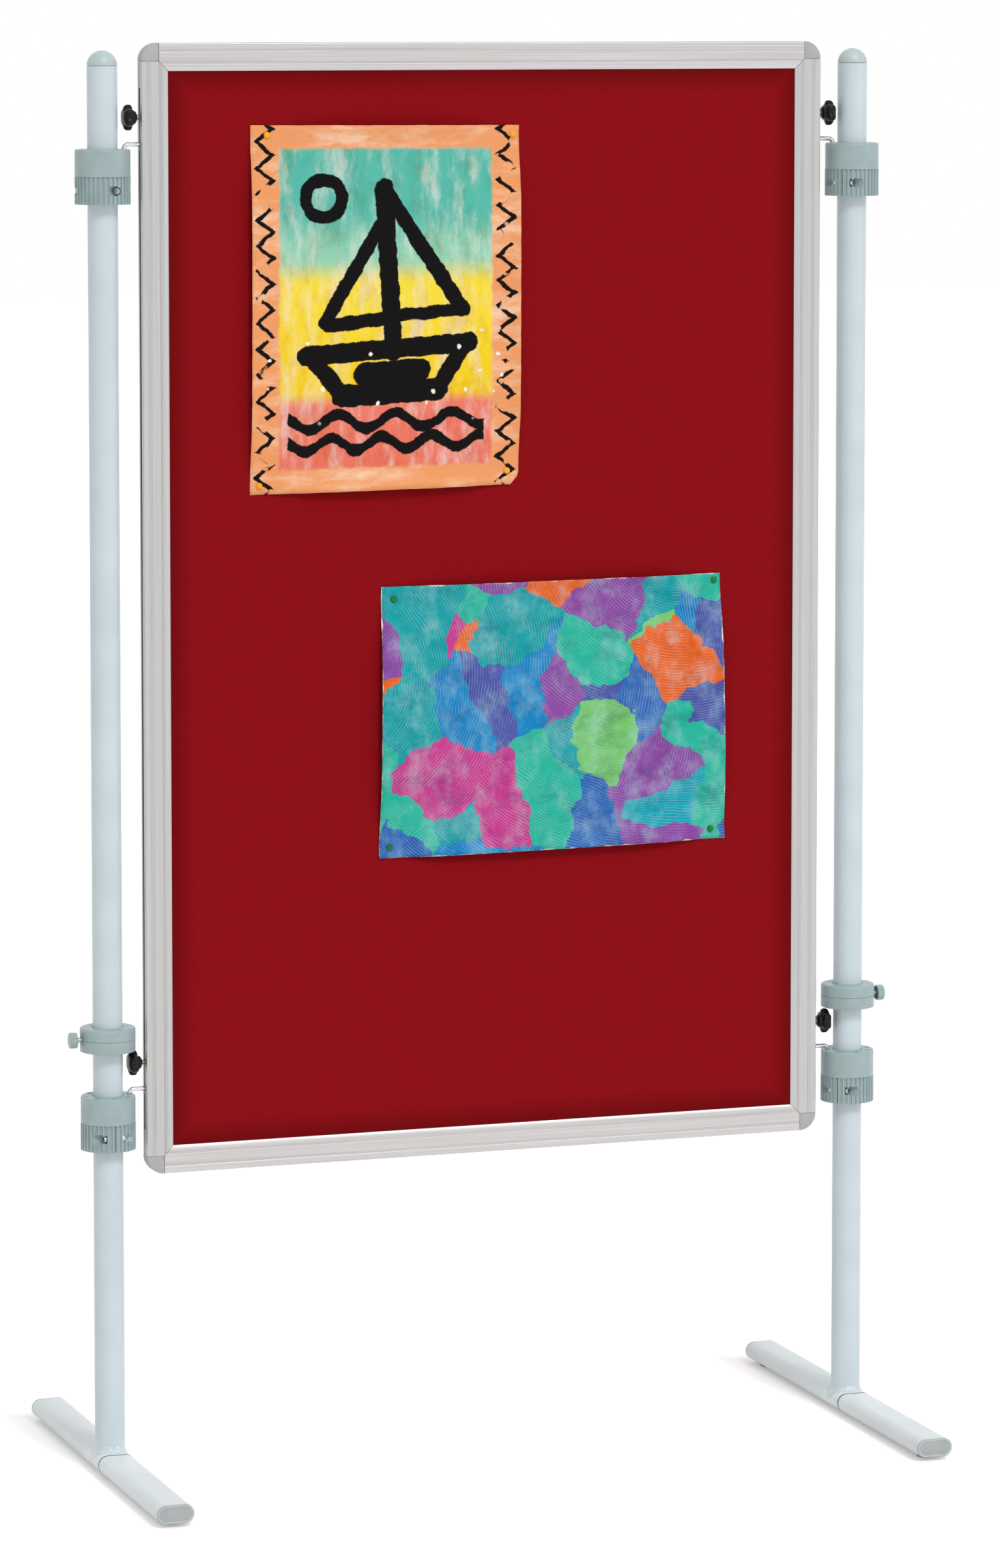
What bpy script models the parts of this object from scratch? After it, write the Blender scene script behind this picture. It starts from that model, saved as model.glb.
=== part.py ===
"""Mobile pinboard: a felt board in an aluminium frame, hung between two round posts on long flat feet.

Sizes are in metres. The origin is on the floor, midway between the four glides. X runs across the board,
Y from its front to its back and Z upwards. The left post stands at negative X.
"""

import math

import bmesh
import bpy
from mathutils import Matrix, Vector

# Fits between pieces, and how far a cutter runs past what it cuts
FIT = 0.0003
OVERRUN = 0.004
MERGE = 0.00001

# How finely round pieces are divided
ROUND_STEPS = 24
CAP_STEPS = 16
ROD_STEPS = 8
SCREW_STEPS = 10
OVAL_STEPS = 5
HEX_STEPS = 6
SMOOTH_ANGLE = math.radians(38)
BEVEL_ANGLE = math.radians(60)
HALF_QUARTER = math.pi / 4

# The board, and where it hangs
BOARD_WIDTH = 0.960
BOARD_HEIGHT = 1.500
BOARD_BOTTOM = 0.400

# The frame rail in section: its face runs inwards from the outer side, across two flutes, to the felt
FRAME_FACE = 0.037
FRAME_DEPTH = 0.020
FRAME_WALL = 0.002
EDGE_ROUND = 0.0018
SLOT_OPENING = 0.008
SLOT_LIP = 0.0018
SLOT_WIDTH = 0.014
SLOT_DEPTH = 0.007
POCKET_DEPTH = 0.010
LIP_EDGE = 0.0011
FLUTE_DEPTH = 0.0007
FLUTE_WALL_SHARE = 0.02
FLUTE_SHARES = ((0.22, 0.35), (0.66, 0.78))
BEVEL_SHARE = 0.84

# The corner cap closes the square that the rails leave, and its two legs go into their slots
CORNER_SIDE = 0.024
CORNER_BEVEL = 0.0008
CORNER_ARC_STEPS = 6
CORNER_LEG = 0.035
CORNER_LEG_ROOT = 0.002

# The panel
CORE_THICKNESS = 0.009
FELT_THICKNESS = 0.0012

# The posts
POST_DIAMETER = 0.040
POST_WALL = 0.002
POST_DROP = 0.030
POST_GAP = 0.0505
POST_CAP_STEM = 0.022
POST_CAP_WALL = 0.0025
POST_CAP_RINGS = 4

# The feet: flat oval tubes, each made of a rear length with the post on it and a front length
FOOT_WIDTH = 0.050
FOOT_HEIGHT = 0.025
FOOT_WALL = 0.002
FOOT_FRONT = 0.312
FOOT_BACK = 0.312
FOOT_SEAM = 0.031
WELD_SIDE = 0.0036
WELD_RISE = 0.006
COUPLER_LENGTH = 0.040
COUPLER_FLANGE = 0.006
COUPLER_WALL = 0.003
PLUG_FLANGE = 0.003
PLUG_DEPTH = 0.014
PLUG_WALL = 0.002
PLUG_BEVEL = 0.0012
GLIDE_DIAMETER = 0.022
GLIDE_HEIGHT = 0.005
GLIDE_BEVEL = 0.001
GLIDE_INSET = 0.030
GLIDE_STEM_DIAMETER = 0.008

# The collars: a plain ring with holes for the hooks, over a ribbed clamp with two screws
COLLAR_DIAMETER = 0.073
COLLAR_RING_HEIGHT = 0.036
COLLAR_CLAMP_HEIGHT = 0.036
COLLAR_NECK_DIAMETER = 0.066
COLLAR_NECK_SINK = 0.0006
COLLAR_ROUND = 0.0020
RIB_COUNT = 36
RIB_HEIGHT = 0.0012
RIB_PROUD = 0.0002
RIB_TOP_SHARE = 0.42
SPLIT_GAP = 0.0012
HOOK_HOLE_COUNT = 8
HOOK_HOLE_DIAMETER = 0.007
HOOK_HOLE_DEPTH = 0.030
HOOK_RADIUS = 0.029
UPPER_COLLAR_DROP = 0.1385
LOWER_COLLAR_RISE = 0.109

# The clamp screws, each with its nut
SCREW_DIAMETER = 0.006
SCREW_OFFSET = 0.0284
SCREW_LAND = 0.010
SCREW_HEAD_DIAMETER = 0.010
SCREW_HEAD_HEIGHT = 0.004
HEAD_POCKET_DIAMETER = 0.0132
NUT_ACROSS_FLATS = 0.010
NUT_HEIGHT = 0.004
SCREW_TAIL = 0.001

# How each collar is turned on its post, in steps from one hook hole to the next
COLLAR_TURNS = {"upper_left": 1, "lower_left": 0, "upper_right": -1, "lower_right": -1}

# The stop rings, each of two shells with a thumbscrew between them
RING_DIAMETER = 0.074
RING_SHELL_HEIGHT = 0.016
RING_ROUND = 0.003
RING_BORE_CHAMFER = 0.0012
RING_FOOT_CHAMFER = 0.001
RING_KNOB_GAP = 0.0015
DOWEL_DIAMETER = 0.005
DOWEL_LENGTH = 0.006
THUMB_DIAMETER = 0.0213
THUMB_LENGTH = 0.0105
THUMB_STANDOFF = 0.0055
THUMB_FLUTES = 12
THUMB_STEPS_PER_FLUTE = 2
THUMB_FLUTE_DEPTH = 0.0005
THUMB_DOME = 0.0012
THUMB_FACE_SHARE = 0.7
THUMB_RIM = 0.002
THUMB_HUB_DIAMETER = 0.009
THUMB_HOLLOW_DEPTH = 0.006
THUMB_STUD_DIAMETER = 0.006

# The hook brackets: a strip in the frame's slot, with a bent rod welded to it
STRIP_THICKNESS = 0.0025
STRIP_ABOVE_KNOB = 0.011
STRIP_BELOW_HOOK = 0.011
HOOK_DIAMETER = 0.006
HOOK_BEND = 0.006
HOOK_BEND_STEPS = 4
HOOK_LIFT = 0.006
HOOK_REACH = 0.025
KNOB_RISE = 0.035

# The star knobs
KNOB_DIAMETER = 0.034
KNOB_LOBES = 6
KNOB_STEPS_PER_LOBE = 3
KNOB_HOLLOW = 0.0032
KNOB_STANDOFF = 0.0045
KNOB_LENGTH = 0.0188
KNOB_STUD_DIAMETER = 0.006
# Along the knob from its hub to its face: shares of length, radius and hollow
KNOB_SHARES = (
    (0.0, 0.36, 0.0),
    (0.11, 0.51, 0.0),
    (0.28, 0.57, 0.12),
    (0.38, 0.94, 0.85),
    (0.72, 1.0, 1.0),
    (0.9, 0.86, 0.7),
    (1.0, 0.27, 0.0),
)

# The pinned sheets: width and height, and the middle's place as shares of the board from its middle
SHEET_THICKNESS = 0.0005
SHEET_CELLS = 4
SHEET_LIFT = 0.0028
UPPER_SHEET_SIZE = (0.377, 0.486)
UPPER_SHEET_SHARES = (-0.15, 0.2647)
LOWER_SHEET_SIZE = (0.492, 0.366)
LOWER_SHEET_SHARES = (0.0976, -0.1047)
PIN_DIAMETER = 0.009
PIN_HEIGHT = 0.004
PIN_INSET = 0.020
PIN_STEPS = 6
# Down the pin head's outer side: shares of radius and height
PIN_SHARES = ((0.0, 1.0), (0.6, 0.93), (0.95, 0.6), (1.0, 0.0), (0.0, 0.0))

# Sizes that follow from those above
POST_RADIUS = POST_DIAMETER / 2
POST_X = BOARD_WIDTH / 2 + POST_GAP
POST_TOP = BOARD_BOTTOM + BOARD_HEIGHT - POST_DROP
BORE_RADIUS = POST_RADIUS + FIT
FOOT_CENTRE = GLIDE_HEIGHT + FOOT_HEIGHT / 2
FOOT_TOP = GLIDE_HEIGHT + FOOT_HEIGHT
COLLAR_HEIGHT = COLLAR_RING_HEIGHT + COLLAR_CLAMP_HEIGHT
COLLAR_RADIUS = COLLAR_DIAMETER / 2
COLLAR_TOPS = {
    "upper": BOARD_BOTTOM + BOARD_HEIGHT - UPPER_COLLAR_DROP,
    "lower": BOARD_BOTTOM + LOWER_COLLAR_RISE,
}
HOOK_TO_FRAME = POST_GAP - HOOK_RADIUS
LOWER_KNOB = COLLAR_TOPS["lower"] + HOOK_LIFT + KNOB_RISE
RING_BOTTOM = LOWER_KNOB + KNOB_DIAMETER / 2 + RING_KNOB_GAP
RING_SEAM = RING_BOTTOM + RING_SHELL_HEIGHT + FIT / 2
FELT_FACE = CORE_THICKNESS / 2 + FIT + FELT_THICKNESS
POCKET_HALF = FELT_FACE + FIT
SIDES = {"left": -1, "right": 1}
# How far a piece made for the left post is turned about Z for each post
FACINGS = {"left": 0.0, "right": math.pi}

# Colours as linear values, then roughness and metallic
FINISHES = {
    "powder_coated_steel": ((0.58, 0.67, 0.74), 0.38, 0.0),
    "pale_coated_steel": ((0.79, 0.85, 0.87), 0.36, 0.0),
    "sage_plastic": ((0.36, 0.45, 0.44), 0.4, 0.0),
    "grey_plastic": ((0.42, 0.44, 0.44), 0.45, 0.0),
    "black_plastic": ((0.013, 0.012, 0.014), 0.35, 0.0),
    "anodised_aluminium": ((0.56, 0.56, 0.56), 0.35, 0.85),
    "chromed_steel": ((0.75, 0.76, 0.77), 0.12, 1.0),
    "zinc_plated_steel": ((0.55, 0.56, 0.58), 0.3, 1.0),
    "fibreboard": ((0.32, 0.22, 0.13), 0.8, 0.0),
    "red_felt": ((0.255, 0.007, 0.011), 0.95, 0.0),
    "warm_paper": ((0.72, 0.3, 0.12), 0.7, 0.0),
    "cool_paper": ((0.2, 0.42, 0.48), 0.7, 0.0),
}


def clear_scene():
    for obj in list(bpy.data.objects):
        bpy.data.objects.remove(obj)


def finish_material(name):
    """Each finish is one material, made when it is first asked for."""
    found = bpy.data.materials.get(name)
    if found:
        return found
    colour, roughness, metallic = FINISHES[name]
    made = bpy.data.materials.new(name)
    made.use_nodes = True
    shader = made.node_tree.nodes["Principled BSDF"]
    shader.inputs["Base Color"].default_value = (*colour, 1.0)
    shader.inputs["Roughness"].default_value = roughness
    shader.inputs["Metallic"].default_value = metallic
    return made


def scene_collection(name):
    made = bpy.data.collections.new(name)
    bpy.context.scene.collection.children.link(made)
    return made


def work_object(mesh, home):
    """An object on the bench, at the origin, before it becomes a piece."""
    obj = bpy.data.objects.new(mesh.name, mesh)
    home.objects.link(obj)
    return obj


def mesh_from_bmesh(name, shape):
    mesh = bpy.data.meshes.new(name)
    shape.to_mesh(mesh)
    shape.free()
    return mesh


def evaluated_mesh(obj):
    """The object's mesh with its modifiers in it. The object itself is cleared away."""
    bpy.context.view_layer.update()
    graph = bpy.context.evaluated_depsgraph_get()
    mesh = bpy.data.meshes.new_from_object(obj.evaluated_get(graph))
    bpy.data.objects.remove(obj)
    return mesh


def combined(base, tool, operation, home):
    """One mesh cut by, or joined with, another."""
    base_object = work_object(base, home)
    tool_object = work_object(tool, home)
    tool_object.display_type = "WIRE"
    tool_object.hide_render = True
    step = base_object.modifiers.new("combine", "BOOLEAN")
    step.operation = operation
    step.solver = "EXACT"
    step.object = tool_object
    result = evaluated_mesh(base_object)
    bpy.data.objects.remove(tool_object)
    return result


def joined(base, *others, home):
    for other in others:
        base = combined(base, other, "UNION", home)
    return base


def cut(base, *tools, home):
    for tool in tools:
        base = combined(base, tool, "DIFFERENCE", home)
    return base


def moved(mesh, matrix):
    mesh.transform(matrix)
    return mesh


def moved_copy(mesh, matrix):
    return moved(mesh.copy(), matrix)


def shifted(mesh, x=0.0, y=0.0, z=0.0):
    return moved(mesh, Matrix.Translation((x, y, z)))


def box(size, centre):
    place = Matrix.Translation(centre) @ Matrix.Diagonal((*size, 1.0))
    shape = bmesh.new()
    bmesh.ops.create_cube(shape, size=1.0, matrix=place)
    return mesh_from_bmesh("box", shape)


def rod(radius, start, end, steps=ROD_STEPS):
    """A plain cylinder from one point to another."""
    start, end = Vector(start), Vector(end)
    along = end - start
    place = Matrix.Translation((start + end) / 2) @ along.to_track_quat("Z", "Y").to_matrix().to_4x4()
    shape = bmesh.new()
    bmesh.ops.create_cone(
        shape,
        cap_ends=True,
        segments=steps,
        radius1=radius,
        radius2=radius,
        depth=along.length,
        matrix=place,
    )
    return mesh_from_bmesh("rod", shape)


def turned(profile, home, steps=ROUND_STEPS, closed=True):
    """A turned shape. The profile of radius and height runs down its outer side."""
    mesh = bpy.data.meshes.new("profile")
    links = [(index, index + 1) for index in range(len(profile) - 1)]
    if closed:
        links.append((len(profile) - 1, 0))
    mesh.from_pydata([(radius, 0.0, height) for radius, height in profile], links, [])
    obj = work_object(mesh, home)
    screw = obj.modifiers.new("turn", "SCREW")
    screw.axis = "Z"
    screw.steps = steps
    screw.render_steps = steps
    screw.use_merge_vertices = True
    screw.merge_threshold = MERGE
    return evaluated_mesh(obj)


def prism(outlines, height, home):
    """Flat outlines, the first with the others as holes in it, given a thickness about Z = 0."""
    curve = bpy.data.curves.new("outline", "CURVE")
    curve.dimensions = "2D"
    curve.fill_mode = "BOTH"
    curve.extrude = height / 2
    for outline in outlines:
        spline = curve.splines.new("POLY")
        spline.points.add(len(outline) - 1)
        for point, (x, y) in zip(spline.points, outline):
            point.co = (x, y, 0.0, 1.0)
        spline.use_cyclic_u = True
    obj = bpy.data.objects.new("outline", curve)
    home.objects.link(obj)
    return welded(evaluated_mesh(obj))


def welded(mesh):
    """A mesh made from a curve has loose caps: this closes them and turns the faces out."""
    shape = bmesh.new()
    shape.from_mesh(mesh)
    bmesh.ops.remove_doubles(shape, verts=shape.verts, dist=MERGE)
    bmesh.ops.recalc_face_normals(shape, faces=shape.faces)
    return mesh_from_bmesh(mesh.name, shape)


def sliced(mesh, point, normal):
    """Cuts away what lies on the normal's side of a plane, and closes the cut."""
    shape = bmesh.new()
    shape.from_mesh(mesh)
    whole = shape.verts[:] + shape.edges[:] + shape.faces[:]
    result = bmesh.ops.bisect_plane(
        shape,
        geom=whole,
        dist=MERGE,
        plane_co=point,
        plane_no=normal,
        clear_outer=True,
    )
    rim = [item for item in result["geom_cut"] if isinstance(item, bmesh.types.BMEdge)]
    bmesh.ops.triangle_fill(shape, use_beauty=True, use_dissolve=False, edges=rim)
    bmesh.ops.recalc_face_normals(shape, faces=shape.faces)
    return mesh_from_bmesh(mesh.name, shape)


def bevelled(mesh, width, angle, home, segments=1):
    obj = work_object(mesh, home)
    bevel = obj.modifiers.new("bevel", "BEVEL")
    bevel.width = width
    bevel.segments = segments
    bevel.limit_method = "ANGLE"
    bevel.angle_limit = angle
    return evaluated_mesh(obj)


def circle(radius, steps):
    turns = [2 * math.pi * step / steps for step in range(steps)]
    return [(radius * math.cos(turn), radius * math.sin(turn)) for turn in turns]


def arc_inset(radius):
    """How far the middle of a rounded edge lies in from either face."""
    return radius * (1 - math.cos(HALF_QUARTER))


def flat_oval(width, height, steps=OVAL_STEPS):
    """The outline of a flat oval tube: two half circles and the flats between them."""
    radius = height / 2
    reach = width / 2 - radius
    outline = []
    for side, first in ((1, -math.pi / 2), (-1, math.pi / 2)):
        for step in range(steps + 1):
            turn = first + math.pi * step / steps
            outline.append((side * reach + radius * math.cos(turn), radius * math.sin(turn)))
    return outline


def lobed_loft(rings, lobes, steps_per_lobe):
    """Skins rings of height, radius and depth of the hollows between the lobes, and closes both ends."""
    count = lobes * steps_per_lobe
    shape = bmesh.new()
    loops = []
    for height, radius, hollow in rings:
        loop = []
        for step in range(count):
            turn = 2 * math.pi * step / count
            reach = radius - hollow * (1 - math.cos(lobes * turn)) / 2
            loop.append(shape.verts.new((reach * math.cos(turn), reach * math.sin(turn), height)))
        loops.append(loop)
    for lower, upper in zip(loops, loops[1:]):
        for step in range(count):
            after = (step + 1) % count
            shape.faces.new((lower[step], lower[after], upper[after], upper[step]))
    shape.faces.new(list(reversed(loops[0])))
    shape.faces.new(loops[-1])
    return mesh_from_bmesh("lobed", shape)


def place_piece(name, mesh, finish, home, location=(0.0, 0.0, 0.0), turn=None, parent=None):
    """Makes one named piece of the pinboard."""
    mesh.shade_smooth()
    mesh.set_sharp_from_angle(angle=SMOOTH_ANGLE)
    mesh.materials.clear()
    mesh.materials.append(finish_material(finish))
    obj = bpy.data.objects.new(name, mesh)
    home.objects.link(obj)
    obj.location = location
    if turn is not None:
        obj.rotation_euler = turn
    if parent is not None:
        obj.parent = parent
    return obj


def axis_empty(name, home, location):
    empty = bpy.data.objects.new(name, None)
    home.objects.link(empty)
    empty.location = location
    return empty


def along_y(mesh, start, end):
    """Lays a prism about Z = 0 along Y, its own Y pointing up, between two places on Y."""
    return shifted(moved(mesh, Matrix.Rotation(math.pi / 2, 4, "X")), y=(start + end) / 2)


# The posts and feet


def foot_bar(width, height, start, end, home, bore=None):
    outlines = [flat_oval(width, height)]
    if bore:
        outlines.append(flat_oval(*bore))
    return shifted(along_y(prism(outlines, abs(end - start), home), start, end), z=FOOT_CENTRE)


def foot_tube(start, end, home):
    bore = (FOOT_WIDTH - 2 * FOOT_WALL, FOOT_HEIGHT - 2 * FOOT_WALL)
    return foot_bar(FOOT_WIDTH, FOOT_HEIGHT, start, end, home, bore=bore)


def glide_hole(y):
    radius = GLIDE_STEM_DIAMETER / 2 + FIT
    return rod(radius, (0.0, y, 0.0), (0.0, y, GLIDE_HEIGHT + FOOT_WALL + OVERRUN))


def weld_bead(home):
    """A fillet of weld round the foot of the post, cut to the foot's crown."""
    inner = BORE_RADIUS
    crown = FOOT_TOP
    profile = [
        (inner + FIT, crown + WELD_RISE),
        (inner + WELD_SIDE, crown + FIT),
        (inner + WELD_SIDE, FOOT_CENTRE),
        (inner, FOOT_CENTRE),
        (inner, crown + WELD_RISE),
    ]
    half_wall = FOOT_WALL / 2
    clear = foot_bar(
        FOOT_WIDTH - 2 * half_wall,
        FOOT_HEIGHT - 2 * half_wall,
        -FOOT_WIDTH,
        FOOT_WIDTH,
        home,
    )
    return cut(turned(profile, home), clear, home=home)


def foot_rear_mesh(home):
    tube = foot_tube(-FOOT_SEAM, FOOT_BACK - PLUG_FLANGE - FIT, home)
    tube = cut(tube, glide_hole(FOOT_BACK - GLIDE_INSET), home=home)
    return joined(tube, weld_bead(home), home=home)


def foot_front_mesh(home):
    """The front length carries a coupler that slides into the rear one."""
    seam = -FOOT_SEAM - FIT
    tube = foot_tube(-FOOT_FRONT + PLUG_FLANGE + FIT, seam, home)
    tube = cut(tube, glide_hole(-FOOT_FRONT + GLIDE_INSET), home=home)
    inside = (FOOT_WIDTH - 2 * FOOT_WALL - 2 * FIT, FOOT_HEIGHT - 2 * FOOT_WALL - 2 * FIT)
    bore = (inside[0] - 2 * COUPLER_WALL, inside[1] - 2 * COUPLER_WALL)
    spigot = foot_bar(*inside, seam - COUPLER_FLANGE, seam + COUPLER_LENGTH, home, bore=bore)
    seat = (FOOT_WIDTH - FOOT_WALL, FOOT_HEIGHT - FOOT_WALL)
    flange_end = seam - FOOT_WALL
    flange = foot_bar(*seat, seam - COUPLER_FLANGE, flange_end, home, bore=bore)
    return joined(tube, flange, spigot, home=home)


def foot_plug_mesh(home):
    """Made for the front end, with its face at the foot's front."""
    face = -FOOT_FRONT
    flange = foot_bar(FOOT_WIDTH, FOOT_HEIGHT, face, face + PLUG_FLANGE, home)
    flange = bevelled(flange, PLUG_BEVEL, BEVEL_ANGLE, home)
    inside = (FOOT_WIDTH - 2 * FOOT_WALL - 2 * FIT, FOOT_HEIGHT - 2 * FOOT_WALL - 2 * FIT)
    bore = (inside[0] - 2 * PLUG_WALL, inside[1] - 2 * PLUG_WALL)
    back = face + PLUG_FLANGE + PLUG_DEPTH
    sleeve = foot_bar(*inside, face + PLUG_FLANGE / 2, back, home)
    hollow = foot_bar(*bore, face + PLUG_FLANGE, back + OVERRUN, home)
    return joined(flange, cut(sleeve, hollow, home=home), home=home)


def glide_mesh(home):
    """A round glide whose stem goes up through the bottom of the foot."""
    radius = GLIDE_DIAMETER / 2
    top = GLIDE_HEIGHT - FIT
    stem = GLIDE_STEM_DIAMETER / 2
    profile = [
        (0.0, GLIDE_HEIGHT + FOOT_WALL * 2),
        (stem, GLIDE_HEIGHT + FOOT_WALL * 2),
        (stem, top),
        (radius, top),
        (radius, GLIDE_BEVEL),
        (radius - GLIDE_BEVEL, 0.0),
        (0.0, 0.0),
    ]
    return turned(profile, home, steps=SCREW_STEPS, closed=False)


def post_mesh(home):
    """The tube is cut at its foot to sit on the crown of the foot tube."""
    inner = POST_RADIUS - POST_WALL
    profile = [
        (POST_RADIUS, POST_TOP),
        (POST_RADIUS, FOOT_CENTRE),
        (inner, FOOT_CENTRE),
        (inner, POST_TOP),
    ]
    clear = (FOOT_WIDTH + 2 * FIT, FOOT_HEIGHT + 2 * FIT)
    saddle = foot_bar(*clear, -POST_DIAMETER, POST_DIAMETER, home)
    return cut(turned(profile, home), saddle, home=home)


def post_cap_mesh(home):
    """A half ball over the top of the tube, with a hollow stem inside it."""
    stem = POST_RADIUS - POST_WALL - FIT
    dome = []
    for ring in range(POST_CAP_RINGS + 1):
        turn = math.pi / 2 * ring / POST_CAP_RINGS
        dome.append((POST_RADIUS * math.sin(turn), POST_RADIUS * math.cos(turn) + FIT))
    hollow = stem - POST_CAP_WALL
    profile = dome + [
        (stem, FIT),
        (stem, -POST_CAP_STEM),
        (hollow, -POST_CAP_STEM),
        (hollow, 0.0),
        (0.0, 0.0),
    ]
    return turned(profile, home, steps=CAP_STEPS, closed=False)


def build_stand(side, home, bench):
    """One post with its cap, on its foot."""
    x = SIDES[side] * POST_X
    axis = axis_empty(f"{side}_post_axis", home, (x, 0.0, 0.0))
    coated, pale = "powder_coated_steel", "pale_coated_steel"
    place_piece(f"{side}_post", post_mesh(bench), coated, home, parent=axis)
    cap = post_cap_mesh(bench)
    place_piece(f"{side}_post_cap", cap, "sage_plastic", home, (0.0, 0.0, POST_TOP), parent=axis)
    place_piece(f"{side}_foot_rear", foot_rear_mesh(bench), pale, home, parent=axis)
    place_piece(f"{side}_foot_front", foot_front_mesh(bench), pale, home, parent=axis)
    plug = foot_plug_mesh(bench)
    glide = glide_mesh(bench)
    ends = {"front": (0.0, FOOT_FRONT, 0.0), "rear": (math.pi, FOOT_BACK, FOOT_BACK - FOOT_FRONT)}
    for end, (turn, reach, slide) in ends.items():
        spin = (0.0, 0.0, turn)
        plug_place = (0.0, slide, 0.0)
        place_piece(f"{side}_foot_plug_{end}", plug, "grey_plastic", home, plug_place, spin, axis)
        y = math.copysign(reach - GLIDE_INSET, -1 if end == "front" else 1)
        place_piece(f"{side}_glide_{end}", glide, "grey_plastic", home, (0.0, y, 0.0), parent=axis)
    return axis


# The collars


def ribbed_outline():
    """Flat-topped ribs with a V-shaped groove before each."""
    pitch = 2 * math.pi / RIB_COUNT
    top = COLLAR_RADIUS + RIB_PROUD
    bottom = top - RIB_HEIGHT
    outline = []
    for rib in range(RIB_COUNT):
        middle = pitch * rib + pitch / 2
        for radius, share in ((bottom, -1.0), (top, -RIB_TOP_SHARE), (top, RIB_TOP_SHARE)):
            turn = middle + share * pitch / 2
            outline.append((radius * math.cos(turn), radius * math.sin(turn)))
    return outline


def split_half(mesh, side):
    """What lies on one side of the clamp's split."""
    return sliced(mesh, (side * SPLIT_GAP / 2, 0.0, 0.0), (-side, 0.0, 0.0))


def clamp_half(side, home):
    """Half of the ribbed clamp, a little under the plain ring."""
    height = COLLAR_CLAMP_HEIGHT - FIT
    whole = prism([ribbed_outline(), circle(BORE_RADIUS, ROUND_STEPS)], height, home)
    return split_half(shifted(whole, z=height / 2), side)


def neck_half(home):
    """The narrower neck that joins the nuts' half of the clamp to the ring over it."""
    low = COLLAR_CLAMP_HEIGHT - FIT - COLLAR_NECK_SINK
    high = COLLAR_CLAMP_HEIGHT + COLLAR_NECK_SINK
    radius = COLLAR_NECK_DIAMETER / 2
    profile = [(radius, high), (radius, low), (BORE_RADIUS, low), (BORE_RADIUS, high)]
    return split_half(turned(profile, home), 1)


def screw_places():
    return [(across * SCREW_OFFSET, COLLAR_CLAMP_HEIGHT / 2) for across in (-1, 1)]


def screw_bores():
    """The bore of each clamp screw, with a round pocket for its head and a six-sided one for its nut."""
    bores = []
    land = SCREW_LAND
    far = COLLAR_RADIUS + OVERRUN
    shank = SCREW_DIAMETER / 2 + FIT
    nut = NUT_ACROSS_FLATS / 2 + FIT
    for y, z in screw_places():
        bores.append(rod(shank, (-land - FIT, y, z), (land + FIT, y, z)))
        bores.append(rod(HEAD_POCKET_DIAMETER / 2, (-far, y, z), (-land, y, z), steps=SCREW_STEPS))
        bores.append(hexagon_bar(nut, (land, y, z), (far, y, z)))
    return bores


def hexagon_bar(half_flats, start, end):
    """A six-sided bar that stands on a corner."""
    return rod(half_flats / math.cos(math.pi / HEX_STEPS), start, end, steps=HEX_STEPS)


def hook_holes():
    """The ring of holes that the hooks drop into."""
    mouth = COLLAR_HEIGHT + OVERRUN
    floor = COLLAR_HEIGHT - HOOK_HOLE_DEPTH
    shape = bmesh.new()
    for hole in range(HOOK_HOLE_COUNT):
        turn = 2 * math.pi * hole / HOOK_HOLE_COUNT
        x, y = HOOK_RADIUS * math.cos(turn), HOOK_RADIUS * math.sin(turn)
        shape.from_mesh(rod(HOOK_HOLE_DIAMETER / 2, (x, y, floor), (x, y, mouth)))
    return mesh_from_bmesh("hook_holes", shape)


def collar_mesh(home):
    """The plain ring with the hook holes and, in one moulding with it, the nuts' half of the clamp."""
    bottom = COLLAR_CLAMP_HEIGHT
    profile = [
        (COLLAR_RADIUS - COLLAR_ROUND, COLLAR_HEIGHT),
        (COLLAR_RADIUS, COLLAR_HEIGHT - COLLAR_ROUND),
        (COLLAR_RADIUS, bottom),
        (BORE_RADIUS, bottom),
        (BORE_RADIUS, COLLAR_HEIGHT),
    ]
    ring = cut(turned(profile, home), hook_holes(), home=home)
    half = cut(clamp_half(1, home), *screw_bores(), home=home)
    return joined(ring, neck_half(home), half, home=home)


def collar_jaw_mesh(home):
    return cut(clamp_half(-1, home), *screw_bores(), home=home)


def clamp_screw_mesh(home):
    """A cylinder head screw with its nut on it, lying along X at the height of the clamp's middle."""
    seat = SCREW_LAND + FIT
    top = -seat - SCREW_HEAD_HEIGHT
    head = rod(SCREW_HEAD_DIAMETER / 2, (top, 0.0, 0.0), (-seat, 0.0, 0.0), steps=SCREW_STEPS)
    nut_end = seat + NUT_HEIGHT
    nut = hexagon_bar(NUT_ACROSS_FLATS / 2, (seat, 0.0, 0.0), (nut_end, 0.0, 0.0))
    shank = rod(SCREW_DIAMETER / 2, (-seat - FIT, 0.0, 0.0), (nut_end + SCREW_TAIL, 0.0, 0.0))
    return joined(head, shank, nut, home=home)


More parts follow.
